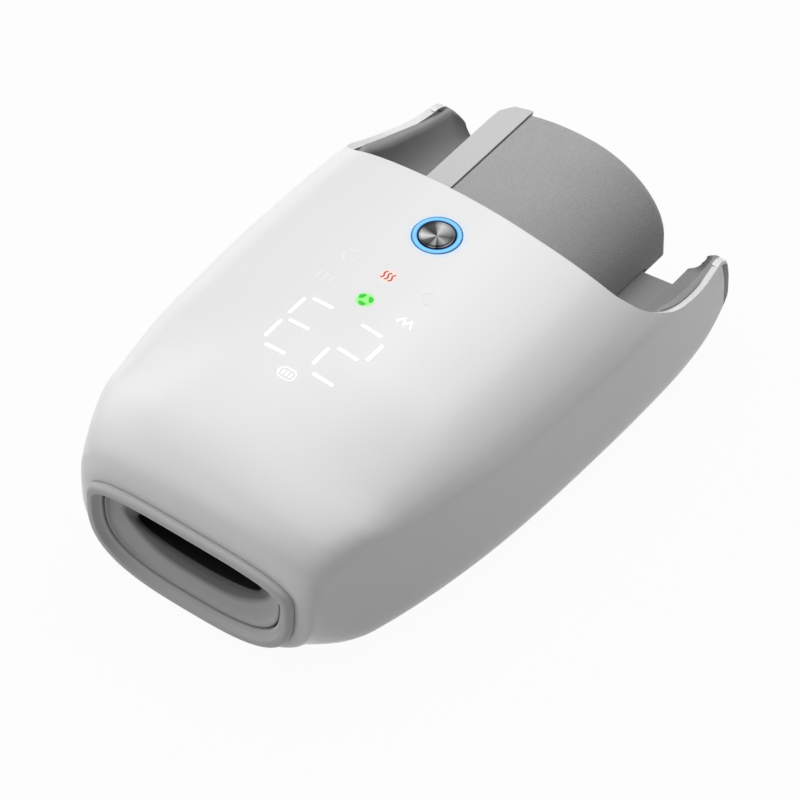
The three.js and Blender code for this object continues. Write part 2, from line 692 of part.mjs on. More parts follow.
// White top shell with its horns, button hole and board posts
function topShell() {
  let shell = bodySolid().subtract(bodySolid(SHELL_WALL, BODY_FRONT_Y, HORN_END_Y - SHELL_WALL));
  shell = shell.intersect(coverPrism()).subtract(openingPrism()).subtract(middleBox(0));
  shell = shell.subtract(rodSolid(RING_DIAMETER + 2 * FIT, RUN_OUT, [0, BUTTON_Y, BODY_TOP - RUN_OUT / 2]));
  const posts = boardCorners().map(([x, y]) => rodSolid(
    BOARD_POST_DIAMETER,
    BODY_TOP - SHELL_WALL / 2 - (BOARD_TOP_Z + FIT),
    [x, y, BOARD_TOP_Z + FIT],
    'z',
    SMALL_SIDES,
  ));
  const clipped = joined(posts).intersect(bodySolid(SHELL_WALL / 2, BODY_FRONT_Y, HORN_END_Y - SHELL_WALL));
  return shell.add(clipped);
}

function boardCorners() {
  const x = BOARD_WIDTH / 2 - BOARD_POST_INSET;
  const front = BOARD_FRONT_Y + BOARD_POST_INSET;
  const rear = BOARD_REAR_Y - BOARD_POST_INSET;
  return [[-x, front], [x, front], [-x, rear], [x, rear]];
}

function cornerPlaces(x, front, rear) {
  return [[-x, front], [x, front], [-x, rear], [x, rear]];
}

// Grey base: pan, rear wall of the scoop, horn caps, screw bosses, vent and foot recesses
function baseShell() {
  const rear = HORN_END_Y - SHELL_WALL;
  const hollow = bodySolid(SHELL_WALL, BODY_FRONT_Y, rear).subtract(scoopPrism(SHELL_WALL, SHELL_WALL));
  let base = bodySolid().subtract(scoopPrism(0)).subtract(hollow);
  base = base.intersect(basePrism().add(middleBox(FIT))).subtract(openingPrism());
  base = base.subtract(handSolid(LINER_THICKNESS + FIT, SEAM_REAR_Y - RUN_OUT, HORN_END_Y - SHELL_WALL));
  const deckSpace = boxSolid(
    [-DECK_HALF_WIDTH - FIT, RIM_TOP_Y, DECK_UNDERSIDE_Z - FIT],
    [DECK_HALF_WIDTH + FIT, HORN_END_Y + RUN_OUT, BODY_TOP],
  );
  base = base.subtract(deckSpace).subtract(hornHollow());
  const bosses = cornerPlaces(SCREW_X, SCREW_FRONT_Y, SCREW_REAR_Y).map(([x, y]) => rodSolid(
    BOSS_DIAMETER,
    DECK_UNDERSIDE_Z - FIT - BODY_BOTTOM - SHELL_WALL / 2,
    [x, y, BODY_BOTTOM + SHELL_WALL / 2],
    'z',
    SMALL_SIDES,
  ));
  base = joined([base, ...bosses, ...shakerSeats()]);
  const wells = cornerPlaces(SCREW_X, SCREW_FRONT_Y, SCREW_REAR_Y).flatMap(([x, y]) => [
    rodSolid(
      SCREW_WELL_DIAMETER,
      SCREW_WELL_DEPTH + RUN_OUT,
      [x, y, bodyBottom(y) - RUN_OUT],
      'z',
      SMALL_SIDES,
    ),
    rodSolid(BOSS_BORE, 2 * RUN_OUT, [x, y, -RUN_OUT], 'z', SMALL_SIDES),
  ]);
  const recesses = cornerPlaces(FOOT_X, FOOT_FRONT_Y, FOOT_REAR_Y).map(([x, y]) => rodSolid(
    FOOT_DIAMETER + 2 * FIT,
    FOOT_RECESS + RUN_OUT,
    [x, y, BODY_BOTTOM - RUN_OUT],
    'z',
    SMALL_SIDES,
  ));
  return base.subtract(joined([...wells, ...recesses, ...ventSlots(-RUN_OUT, BASE_FLOOR_Z + FIT)]));
}

// The hand space beside the palm rest, carried on through the horns' rear walls
function hornHollow() {
  const hollow = handSolid(0, SEAM_REAR_Y - RUN_OUT, HORN_END_Y + RUN_OUT);
  return hollow.subtract(boxSolid(
    [-BODY_WIDTH, NOSE_Y, -RUN_OUT],
    [BODY_WIDTH, HORN_END_Y + 2 * RUN_OUT, HAND_FLOOR_Z],
  ));
}

// Parallel slots over or under the fan, shorter towards the sides so that they fill a circle
function ventSlots(bottom, top) {
  const radius = (FAN_BORE / 2) * VENT_ROUND_SHARE;
  const slots = [];
  for (let i = 0; i < VENT_SLOT_COUNT; i += 1) {
    const x = (i - (VENT_SLOT_COUNT - 1) / 2) * VENT_SLOT_PITCH;
    const reach = Math.sqrt(radius * radius - x * x);
    slots.push(boxSolid(
      [x - VENT_SLOT_WIDTH / 2, FAN_Y - reach, bottom],
      [x + VENT_SLOT_WIDTH / 2, FAN_Y + reach, top],
    ));
  }
  return slots;
}

// Ring between the white shell and the fingertip funnel

// An oval of the nose's own outline, drawn in by an inset; its low crown flattens as it is drawn in
function noseOval(y, inset) {
  const half = NOSE_WIDTH / 2 - inset;
  const crown = NOSE_TOP - NOSE_SHOULDER;
  const above = crown * Math.exp(-inset / crown);
  const below = NOSE_SHOULDER - NOSE_BOTTOM - inset;
  return [
    ...ovalQuarter(half, above, 0, CROWN_STEPS, NOSE_CROWN_POWER),
    ...ovalQuarter(half, above, 1, CROWN_STEPS, NOSE_CROWN_POWER),
    ...ovalQuarter(half, below, 2, KEEL_STEPS, NOSE_KEEL_POWER),
    ...ovalQuarter(half, below, 3, KEEL_STEPS, NOSE_KEEL_POWER),
  ].map(([x, z]) => [x, y, NOSE_SHOULDER + z]);
}

function frontBezel() {
  const rounding = [0, 0.25, 0.5, 0.75, 1].map((share) => {
    const angle = share * (Math.PI / 2);
    return [NOSE_Y + BEZEL_ROUND * (1 - Math.sin(angle)), BEZEL_ROUND * (1 - Math.cos(angle))];
  });
  const outside = loftSolid([
    noseOval(BODY_FRONT_Y + BEZEL_SPIGOT, SHELL_WALL + BEZEL_SPIGOT_TAPER),
    noseOval(BODY_FRONT_Y, SHELL_WALL + 2 * FIT),
    noseOval(BODY_FRONT_Y, 0),
    ...rounding.map(([y, inset]) => noseOval(y, inset)),
  ].reverse());
  const bore = loftSolid([
    noseOval(NOSE_Y - RUN_OUT, BEZEL_LIP),
    noseOval(NOSE_Y, BEZEL_LIP),
    noseOval(NOSE_Y + BEZEL_BEVEL, BEZEL_SEAT),
    noseOval(BODY_FRONT_Y + BEZEL_SPIGOT + FIT, BEZEL_SEAT),
  ]);
  return outside.subtract(bore);
}

// A ring part of the way from the dish's rim to the slot for the fingertips
function dishRing(y, way, inset) {
  const halfHeight = (THROAT_TOP - THROAT_BOTTOM) / 2;
  const middle = THROAT_BOTTOM + halfHeight;
  return noseOval(y, BEZEL_SEAT + FIT + inset * (1 - way)).map(([x, , z]) => {
    const angle = Math.atan2((z - NOSE_SHOULDER) / halfHeight, x / THROAT_HALF_WIDTH);
    const slotX = THROAT_HALF_WIDTH * Math.cos(angle);
    const slotZ = middle + halfHeight * Math.sin(angle);
    return [x + (slotX - x) * way, y, z + (slotZ - z) * way];
  });
}

// Dish behind the ring that curves in to the slot, with a short duct behind the slot
function frontFunnel() {
  const front = NOSE_Y + BEZEL_BEVEL + FIT;
  const rear = front + FUNNEL_DEPTH;
  const outside = loftSolid([
    dishRing(front, 0, 0),
    dishRing(front + FUNNEL_WALL + DISH_DEPTH / 2, 0, 0),
    ductRing(rear, FUNNEL_WALL),
  ]);
  const dish = DISH_SHARES.map(([way, deep]) => dishRing(front + DISH_DEPTH * deep, way, FUNNEL_RIM));
  const bore = loftSolid([
    dishRing(front - FIT, 0, FUNNEL_RIM),
    ...dish,
    ductRing(rear + FIT, 0),
  ]);
  return outside.subtract(bore);
}

function ductRing(y, grow) {
  const middle = (THROAT_TOP + THROAT_BOTTOM) / 2;
  return dishRing(y, 1, 0).map(([x, , z]) => {
    const angle = Math.atan2((z - middle) / (THROAT_TOP - middle), x / THROAT_HALF_WIDTH);
    return [x + grow * Math.cos(angle), y, z + grow * Math.sin(angle)];
  });
}

// Grey liners at the sides of the hand space; their tops show beside the white horns
function sideLiner(side) {
  const rear = HORN_END_Y - SHELL_WALL - FIT;
  let liner = handSolid(LINER_THICKNESS, LINER_FRONT_Y, rear).subtract(handSolid(0, NOSE_Y, HORN_END_Y));
  liner = liner.intersect(bodySolid(SHELL_WALL + FIT, NOSE_Y, rear));
  liner = liner.subtract(openingPrism()).subtract(scoopPrism(0));
  const inner = DECK_HALF_WIDTH + FIT;
  const keep = side > 0
    ? boxSolid([inner, LINER_FRONT_Y - FIT, 0], [BODY_WIDTH, HORN_END_Y, LINER_TOP_Z])
    : boxSolid([-BODY_WIDTH, LINER_FRONT_Y - FIT, 0], [-inner, HORN_END_Y, LINER_TOP_Z]);
  return liner.intersect(keep);
}

// Floor of the hand space, with a well under the palm rest and air slots over the fan
function lowerDeck() {
  const deck = boxSolid(
    [-DECK_HALF_WIDTH, HAND_FRONT_Y, DECK_UNDERSIDE_Z],
    [DECK_HALF_WIDTH, HORN_END_Y, HAND_FLOOR_Z],
  );
  const inside = bodySolid(SHELL_WALL + FIT, HAND_FRONT_Y - FIT, HORN_END_Y - SHELL_WALL);
  const well = boxSolid(
    [PALM_LEFT_X + PALM_WALL, PALM_FRONT_Y + PALM_CORNER, 0],
    [PALM_RIGHT_X - CUSHION_THICKNESS - PALM_WALL, SCOOP_MIDDLE_Y - SHELL_WALL, BODY_TOP],
  );
  const slots = joined(ventSlots(0, BODY_TOP));
  return deck.intersect(inside).subtract(scoopPrism(0)).subtract(well).subtract(slots);
}

// Palm rest: how high its top stands at a place along it
function palmTop(y) {
  const slope = smooth((PALM_SLOPE_END_Y - y) / (PALM_SLOPE_END_Y - PALM_FRONT_Y));
  const nose = roundDrop(PALM_CORNER, PALM_FRONT_Y + PALM_CORNER - y);
  return PALM_TOP - (PALM_TOP - PALM_FRONT_TOP) * slope - nose;
}

// Outline of the palm rest across the body, drawn in by an inset, from the lip to the right foot
function palmArch(y, inset, from) {
  const top = palmTop(y) - inset;
  const seat = HAND_FLOOR_Z + FIT;
  const belt = seat + ((PALM_BELT_Z - seat) * (palmTop(y) - seat)) / (PALM_TOP - seat);
  const right = PALM_RIGHT_X - inset - roundDrop(PALM_CORNER, PALM_FRONT_Y + PALM_CORNER - y);
  const points = [];
  const leftAngle = Math.asin(Math.min(1, (PALM_CREST_X - from) / PALM_LEFT_RUN));
  for (let i = 0; i < PALM_STEPS; i += 1) {
    const angle = leftAngle * (1 - i / PALM_STEPS);
    points.push([PALM_CREST_X - PALM_LEFT_RUN * Math.sin(angle), belt + (top - belt) * Math.cos(angle)]);
  }
  for (let i = 0; i <= 2 * PALM_STEPS; i += 1) {
    const angle = (Math.PI / 2) * (i / (2 * PALM_STEPS));
    points.push([
      PALM_CREST_X + (right - PALM_CREST_X) * Math.sin(angle),
      belt + (top - belt) * Math.cos(angle),
    ]);
  }
  return points;
}

// Places of the rings along the palm rest, the same for its frame, heater and cushion
function palmStations(from, to) {
  const overhang = overhangY();
  const between = PALM_STATION_SHARES.map((share) => PALM_FRONT_Y + (PALM_END_Y - PALM_FRONT_Y) * share)
    .concat(overhang, overhang + FIT)
    .filter((y) => y > from + FIT && y < to - FIT)
    .sort((a, b) => a - b);
  return [from, ...between, to];
}

// Behind this place the palm rest hangs over the rear edge of the floor
function overhangY() {
  return SCOOP_EDGE_Y + FIT;
}

// Light-grey frame that carries the cushion, with its flange and lip along the left side
function palmRestFrame() {
  const seat = HAND_FLOOR_Z + FIT;
  const under = CUSHION_THICKNESS + HEATER_THICKNESS + 2 * FIT;
  const solidRing = (y, inset, floor) => {
    const arch = palmArch(y, under + inset, PALM_LIP_X + FIT);
    const left = PALM_LEFT_X + inset + roundDrop(PALM_CORNER, PALM_FRONT_Y + PALM_CORNER - y)
      + roundDrop(PALM_CORNER, y - PALM_END_Y + PALM_CORNER);
    const leftTop = arch[0][1];
    const last = arch[arch.length - 1];
    return [[left, floor], [left, leftTop - inset], ...arch, [last[0], floor]].map(([x, z]) => [x, y, z]);
  };
  const frontIn = PALM_FRONT_Y + PALM_WALL;
  const rearIn = PALM_END_Y - PALM_WALL;
  const shell = joined([
    loftSolid(palmStations(PALM_FRONT_Y + under, PALM_END_Y).map((y) => solidRing(y, 0, seat))),
    loftSolid(palmStations(overhangY(), PALM_END_Y).map((y) => solidRing(y, 0, PALM_UNDERSIDE_Z))),
  ]);
  const innerRings = palmStations(frontIn + under, rearIn)
    .map((y) => solidRing(y, PALM_WALL, seat - RUN_OUT));
  const hollow = loftSolid(innerRings).intersect(joined([
    boxSolid([-BODY_WIDTH, NOSE_Y, -RUN_OUT], [BODY_WIDTH, overhangY(), BODY_TOP]),
    boxSolid([-BODY_WIDTH, NOSE_Y, PALM_UNDERSIDE_Z + PALM_WALL], [BODY_WIDTH, PALM_END_Y, BODY_TOP]),
  ]));
  const posts = joined([-1, 1].map((side) => rodSolid(
    STANDOFF_DIAMETER,
    MAIN_BOARD_Z - FIT - PALM_UNDERSIDE_Z,
    [CELLS_X + side * REAR_POST_X, overhangY() + STANDOFF_DIAMETER / 2 + FIT, PALM_UNDERSIDE_Z],
    'z',
    SMALL_SIDES,
  )));
  const port = boxSolid(
    [SOCKET_X - SOCKET_WIDTH / 2 - FIT, rearIn - RUN_OUT, socketZ() - SOCKET_HEIGHT / 2 - FIT],
    [SOCKET_X + SOCKET_WIDTH / 2 + FIT, PALM_END_Y + RUN_OUT, socketZ() + SOCKET_HEIGHT / 2 + FIT],
  ).intersect(boxSolid([-BODY_WIDTH, rearIn - FIT, 0], [BODY_WIDTH, PALM_END_Y + FIT, BODY_TOP]));
  return shell.subtract(hollow).add(flangePlate()).add(posts).subtract(port);
}

function socketZ() {
  return MAIN_BOARD_Z + MAIN_BOARD_THICKNESS + FIT + SOCKET_HEIGHT / 2;
}

// Flat flange with the raised lip that holds the cloth down, following the slope of the rest
function flangePlate() {
  const ring = (y) => {
    const drop = PALM_TOP - palmTop(y);
    const left = PALM_LEFT_X + roundDrop(PALM_CORNER, PALM_FRONT_Y + PALM_CORNER - y)
      + roundDrop(PALM_CORNER, y - PALM_END_Y + PALM_CORNER);
    const top = PALM_LIP_Z - drop;
    const under = top - PALM_LIP_PLATE;
    const root = top - CUSHION_THICKNESS;
    return [
      [left, root], [left, top], [PALM_LIP_X, top], [PALM_LIP_X, under], [PALM_LIP_X - FIT, under],
      [PALM_LIP_X - FIT, root],
    ].map(([x, z]) => [x, y, z]);
  };
  return loftSolid(palmStations(PALM_FRONT_Y + CUSHION_THICKNESS + FIT, PALM_END_Y).map(ring));
}

// Cloth-covered foam over the frame: crowned, drawn in at the rear and front edges
function palmCushion() {
  const edge = CUSHION_THICKNESS / 2;
  const rings = palmStations(PALM_FRONT_Y, PALM_END_Y - FIT).map((y) => {
    const foot = (y > overhangY() ? PALM_UNDERSIDE_Z : HAND_FLOOR_Z) + FIT;
    const toEnd = Math.min(y - PALM_FRONT_Y, PALM_END_Y - FIT - y);
    const draw = roundDrop(edge, edge - toEnd) * CUSHION_DRAW_SHARE;
    const outer = palmArch(y, draw, PALM_LIP_X + 2 * FIT);
    const inner = palmArch(y, CUSHION_THICKNESS - draw / 2, PALM_LIP_X + 2 * FIT);
    const rightFoot = [[outer[outer.length - 1][0], foot], [inner[inner.length - 1][0], foot]];
    return [...outer, ...rightFoot, ...inner.reverse()].map(([x, z]) => [x, y, z]);
  });
  return loftSolid(rings).subtract(flangePlate().add(boxSolid(
    [-BODY_WIDTH, NOSE_Y, 0],
    [PALM_LIP_X + FIT, PALM_END_Y + RUN_OUT, BODY_TOP],
  )));
}

// Thin flexible heater that lies on the frame, under the cushion
function heatingFilm() {
  const over = CUSHION_THICKNESS + FIT;
  const rings = palmStations(HEATER_FRONT_Y, PALM_END_Y - PALM_WALL).map((y) => {
    const outer = palmArch(y, over, PALM_LIP_X + 2 * FIT);
    const inner = palmArch(y, over + HEATER_THICKNESS, PALM_LIP_X + 2 * FIT);
    return [...outer, ...inner.reverse()].map(([x, z]) => [x, y, z]);
  });
  const half = HEATER_WIDTH / 2;
  return loftSolid(rings).intersect(boxSolid([-half, NOSE_Y, 0], [half, PALM_END_Y, BODY_TOP]));
}

// Arched ceiling plate under the display, with four posts up to the board
function upperCarrier() {
  const lower = CARRIER_INSET + CARRIER_THICKNESS;
  const plate = bodySolid(CARRIER_INSET, CARRIER_FRONT_Y, CARRIER_REAR_Y)
    .subtract(bodySolid(lower, CARRIER_FRONT_Y - RUN_OUT / 2, CARRIER_REAR_Y + RUN_OUT))
    .intersect(boxSolid([-BODY_WIDTH, NOSE_Y, LINER_TOP_Z + FIT], [BODY_WIDTH, PALM_END_Y, BODY_TOP]));
  const underBoard = BOARD_TOP_Z - BOARD_THICKNESS - FIT;
  const posts = joined(boardCorners().map(([x, y]) => rodSolid(
    BOARD_POST_DIAMETER,
    2 * BOARD_POST_DIAMETER,
    [x, y, underBoard - 2 * BOARD_POST_DIAMETER],
    'z',
    SMALL_SIDES,
  ))).subtract(bodySolid(CARRIER_INSET + CARRIER_THICKNESS / 2, CARRIER_FRONT_Y, CARRIER_REAR_Y));
  return plate.add(posts);
}

// Flat air cushion under the ceiling plate
function upperAirbag() {
  const top = CARRIER_INSET + CARRIER_THICKNESS + FIT;
  const front = CARRIER_FRONT_Y + AIRBAG_MARGIN;
  const rear = CARRIER_REAR_Y - AIRBAG_MARGIN;
  return bodySolid(top, front, rear)
    .subtract(bodySolid(top + AIRBAG_THICKNESS, front - RUN_OUT / 2, rear + RUN_OUT))
    .intersect(boxSolid([-BODY_WIDTH, NOSE_Y, AIRBAG_EDGE_Z], [BODY_WIDTH, PALM_END_Y, BODY_TOP]));
}

// Soft pad that the fingers rest on, crowned, with drawn-in corners
function fingerPad() {
  const bottom = HAND_FLOOR_Z + FIT;
  const centre = FINGER_PAD_REAR_Y - FINGER_PAD_LENGTH / 2;
  const rings = FINGER_PAD_LEVEL_SHARES.map(([up, share]) => [0, 1, 2, 3]
    .flatMap((quarter) => ovalQuarter(
      (FINGER_PAD_WIDTH / 2) * share,
      (FINGER_PAD_LENGTH / 2) * share,
      quarter,
      FINGER_PAD_STEPS,
      FINGER_PAD_POWER,
    ))
    .map(([x, y]) => [x, centre + y, bottom + FINGER_PAD_HEIGHT * up]));
  return loftSolid(rings);
}

// Power button: a dished metal cap on a stem
function buttonCap() {
  const radius = BUTTON_DIAMETER / 2;
  const top = BODY_TOP + BUTTON_PROUD;
  const bottom = top - BUTTON_HEIGHT;
  const stemEnd = switchTop() + BUTTON_TRAVEL + FIT;
  const profile = [
    [0, stemEnd], [BUTTON_STEM_DIAMETER / 2, stemEnd], [BUTTON_STEM_DIAMETER / 2, bottom],
    [radius, bottom], [radius, top - FIT], [radius - FIT, top], [radius * BUTTON_DISH_SHARE, top - FIT],
    [0, top - BUTTON_DISH],
  ];
  return latheSolid(profile, [0, BUTTON_Y, 0]);
}

function switchTop() {
  return BOARD_TOP_Z + FIT + SWITCH_HEIGHT + SWITCH_PIN_HEIGHT;
}

// A profile of [radius, height] points turned about a vertical axis
function latheSolid(profile, place, sides = ROUND_SIDES) {
  const points = profile.map(([r, z]) => new THREE.Vector2(r, z));
  if (profile[0][0] !== 0) points.push(points[0].clone());
  const geometry = new THREE.LatheGeometry(points, sides);
  geometry.rotateX(Math.PI / 2);
  geometry.translate(...place);
  return solidOf(geometry);
}

// Ring of clear plastic that glows round the button, with a flange behind the shell
function lightRing() {
  const outer = RING_DIAMETER / 2;
  const inner = BUTTON_DIAMETER / 2 + FIT;
  const top = BODY_TOP + BUTTON_PROUD / 2;
  const shellUnderside = BODY_TOP - SHELL_WALL - FIT;
  const bottom = shellUnderside - RING_FLANGE_THICKNESS;
  return latheSolid([
    [inner, bottom], [outer + RING_FLANGE, bottom], [outer + RING_FLANGE, shellUnderside - FIT],
    [outer, shellUnderside - FIT], [outer, top - FIT], [outer - FIT, top], [inner + FIT, top],
    [inner, top - FIT],
  ], [0, BUTTON_Y, 0]);
}

// Push switch on the board under the button
function buttonSwitch() {
  const z = BOARD_TOP_Z + FIT;
  const half = SWITCH_SIDE / 2;
  const body = boxSolid([-half, BUTTON_Y - half, z], [half, BUTTON_Y + half, z + SWITCH_HEIGHT]);
  return body.add(rodSolid(
    SWITCH_PIN_DIAMETER,
    SWITCH_PIN_HEIGHT + SWITCH_HEIGHT / 2,
    [0, BUTTON_Y, z + SWITCH_HEIGHT / 2],
    'z',
    SMALL_SIDES,
  ));
}

function displayBoard() {
  const half = BOARD_WIDTH / 2;
  const under = BOARD_TOP_Z - BOARD_THICKNESS;
  return boxSolid([-half, BOARD_FRONT_Y, under], [half, BOARD_REAR_Y, BOARD_TOP_Z]);
}

// Light guide with a grid of cells that keeps each sign's light apart
function displayGuide() {
  const half = GUIDE_WIDTH / 2;
  const bottom = BOARD_TOP_Z + FIT;
  let guide = boxSolid([-half, GUIDE_FRONT_Y, bottom], [half, GUIDE_REAR_Y, GUIDE_TOP_Z]);
  guide = guide.intersect(bodySolid(SHELL_WALL + FIT));
  const pitch = GUIDE_CELL + GUIDE_WEB;
  const columns = Math.floor((GUIDE_WIDTH - GUIDE_WEB) / pitch);
  const rows = Math.floor((GUIDE_REAR_Y - GUIDE_FRONT_Y - GUIDE_WEB) / pitch);
  const middleY = (GUIDE_REAR_Y + GUIDE_FRONT_Y) / 2;
  const cells = [];
  for (let c = 0; c < columns; c += 1) {
    for (let r = 0; r < rows; r += 1) {
      const x = (c - (columns - 1) / 2) * pitch;
      const y = middleY + (r - (rows - 1) / 2) * pitch;
      cells.push(boxSolid(
        [x - GUIDE_CELL / 2, y - GUIDE_CELL / 2, 0],
        [x + GUIDE_CELL / 2, y + GUIDE_CELL / 2, BODY_TOP],
      ));
    }
  }
  return guide.subtract(joined(cells));
}

// Tray for the two cells, with two posts that carry the front of the main board
function batteryHolder() {
  const z = BASE_FLOOR_Z + FIT;
  const halfX = holderHalfWidth();
  const low = [CELLS_X - halfX, HOLDER_FRONT_Y, z];
  const high = [CELLS_X + halfX, CELLS_FRONT_Y + CELL_LENGTH + FIT + HOLDER_WALL, z + HOLDER_HEIGHT];
  const inside = boxSolid(
    [low[0] + HOLDER_WALL, low[1] + HOLDER_WALL, z + HOLDER_WALL],
    [high[0] - HOLDER_WALL, high[1] - HOLDER_WALL, z + HOLDER_HEIGHT + FIT],
  );
  const postX = halfX + STANDOFF_DIAMETER / 2 - HOLDER_WALL;
  const posts = [-1, 1].map((side) => rodSolid(
    STANDOFF_DIAMETER,
    MAIN_BOARD_Z - FIT - z,
    [CELLS_X + side * postX, MAIN_BOARD_FRONT_Y + STANDOFF_DIAMETER, z],
    'z',
    SMALL_SIDES,
  ));
  return joined([boxSolid(low, high).subtract(inside), ...posts]);
}

function holderHalfWidth() {
  return (CELL_PITCH + CELL_DIAMETER) / 2 + FIT + HOLDER_WALL;
}

function batteryCell(side) {
  const x = CELLS_X + (side * CELL_PITCH) / 2;
  const z = BASE_FLOOR_Z + FIT + HOLDER_WALL + FIT + CELL_DIAMETER / 2;
  const can = rodSolid(CELL_DIAMETER, CELL_LENGTH - CELL_TIP, [x, CELLS_FRONT_Y, z], 'y');
  const overlap = CELL_TIP / 2;
  const tipFrom = CELLS_FRONT_Y + CELL_LENGTH - CELL_TIP - overlap;
  return can.add(rodSolid(CELL_TIP_DIAMETER, CELL_TIP + overlap, [x, tipFrom, z], 'y', SMALL_SIDES));
}

// Main board with its chips, capacitors and plug block
function mainBoard() {
  const left = CELLS_X - MAIN_BOARD_WIDTH / 2;
  const top = MAIN_BOARD_Z + MAIN_BOARD_THICKNESS;
  const plate = boxSolid(
    [left, MAIN_BOARD_FRONT_Y, MAIN_BOARD_Z],
    [left + MAIN_BOARD_WIDTH, MAIN_BOARD_FRONT_Y + MAIN_BOARD_LENGTH, top],
  );
  const sink = MAIN_BOARD_THICKNESS / 2;
  const chips = CHIP_SHARES.map(([across, along]) => {
    const x = left + MAIN_BOARD_WIDTH * across;
    const y = MAIN_BOARD_FRONT_Y + MAIN_BOARD_LENGTH * along;
    return boxSolid(
      [x - CHIP_SIDE / 2, y - CHIP_SIDE / 2, top - sink],
      [x + CHIP_SIDE / 2, y + CHIP_SIDE / 2, top + CHIP_HEIGHT],
    );
  });
  const capacitors = CAPACITOR_SHARES.map(([across, along]) => rodSolid(
    CAPACITOR_DIAMETER,
    CAPACITOR_HEIGHT,
    [left + MAIN_BOARD_WIDTH * across, MAIN_BOARD_FRONT_Y + MAIN_BOARD_LENGTH * along, top - sink],
    'z',
    SMALL_SIDES,
  ));
  return joined([plate, ...chips, ...capacitors]);
}

// Charging socket at the rear edge of the board: a flat metal sleeve with its tongue
function chargingSocket() {
  const z = socketZ();
  const front = PALM_END_Y - FIT - SOCKET_LENGTH;
  const rear = PALM_END_Y - FIT;
  const shell = pillSolid(SOCKET_WIDTH, SOCKET_HEIGHT, SOCKET_X, front, rear, z);
  const hollow = pillSolid(
    SOCKET_WIDTH - 2 * SOCKET_WALL,
    SOCKET_HEIGHT - 2 * SOCKET_WALL,
    SOCKET_X,
    front + SOCKET_WALL,
    rear + FIT,
    z,
  );
  const tongue = boxSolid(
    [SOCKET_X - SOCKET_WIDTH / 3, front, z - SOCKET_WALL / 2],
    [SOCKET_X + SOCKET_WIDTH / 3, rear - 2 * SOCKET_WALL, z + SOCKET_WALL / 2],
  );
  return shell.subtract(hollow).add(tongue);
}

// A bar with round sides, lying along Y
function pillSolid(width, height, x, front, rear, z) {
  const radius = height / 2;
  const reach = width / 2 - radius;
  const shape = new THREE.Shape();
  shape.absarc(reach, 0, radius, -Math.PI / 2, Math.PI / 2, false);
  shape.absarc(-reach, 0, radius, Math.PI / 2, 1.5 * Math.PI, false);
  const geometry = new THREE.ExtrudeGeometry(shape, {
    depth: rear - front,
    bevelEnabled: false,
    curveSegments: SMALL_SIDES / 2,
  });
  geometry.rotateX(Math.PI / 2);
  geometry.translate(x, rear, z);
  return solidOf(geometry);
}

// Pump motor: a can with a front boss and a hole that carries the crank's shaft
function pumpMotor() {
  const can = rodSolid(MOTOR_DIAMETER, MOTOR_LENGTH, [MOTOR_LEFT_X, PUMP_Y, PUMP_Z], 'x');
  const right = MOTOR_LEFT_X + MOTOR_LENGTH;
  const bore = rodSolid(
    PUMP_SHAFT_DIAMETER + 2 * FIT,
    PUMP_SHAFT_SOCKET + FIT,
    [right - PUMP_SHAFT_SOCKET, PUMP_Y, PUMP_Z],
    'x',
    SMALL_SIDES,
  );
  return can.subtract(bore);
}

// Pump head: a block with a crank chamber towards the motor and an air nozzle at the far end
function pumpHead() {
  const left = MOTOR_LEFT_X + MOTOR_LENGTH + FIT;
  const half = PUMP_HEAD_SIDE / 2;
  const right = left + PUMP_HEAD_LENGTH;
  const block = boxSolid([left, PUMP_Y - half, PUMP_Z - half], [right, PUMP_Y + half, PUMP_Z + half]);
  const chamberDepth = PUMP_CHAMBER_DEPTH + FIT;
  const chamber = rodSolid(PUMP_CHAMBER_DIAMETER, chamberDepth, [left - FIT, PUMP_Y, PUMP_Z], 'x');
  const nozzle = rodSolid(
    NOZZLE_DIAMETER,
    NOZZLE_LENGTH + NOZZLE_ROOT,
    [right - NOZZLE_ROOT, PUMP_Y, PUMP_Z - PUMP_OUTLET_DROP],
    'x',
    SMALL_SIDES,
  );
  return block.subtract(chamber).add(nozzle);
}

// Crank on the motor's shaft, with its disc set off the axis
function pumpCrank() {
  const motorFace = MOTOR_LEFT_X + MOTOR_LENGTH;
  const from = motorFace - PUMP_SHAFT_SOCKET + FIT;
  const discFrom = motorFace + 2 * FIT + CRANK_THICKNESS / 2;
  const reach = discFrom + CRANK_THICKNESS - from;
  const shaft = rodSolid(PUMP_SHAFT_DIAMETER, reach, [from, PUMP_Y, PUMP_Z], 'x', SMALL_SIDES);
  const disc = rodSolid(CRANK_DIAMETER, CRANK_THICKNESS, [discFrom, PUMP_Y, PUMP_Z - CRANK_OFFSET], 'x');
  return shaft.add(disc);
}

// Rubber cradle under the pump motor, standing on the base
function pumpCradle() {
  const x = MOTOR_LEFT_X + MOTOR_LENGTH / 2;
  const bottom = innerFloor(PUMP_Y + CRADLE_LENGTH / 2);
  const block = boxSolid(
    [x - CRADLE_WIDTH / 2, PUMP_Y - CRADLE_LENGTH / 2, bottom],
    [x + CRADLE_WIDTH / 2, PUMP_Y + CRADLE_LENGTH / 2, PUMP_Z - MOTOR_DIAMETER / 2 + CRADLE_HEIGHT],
  );
  return block.subtract(rodSolid(
    MOTOR_DIAMETER + 2 * FIT,
    CRADLE_WIDTH + RUN_OUT,
    [x - (CRADLE_WIDTH + RUN_OUT) / 2, PUMP_Y, PUMP_Z],
    'x',
  ));
}

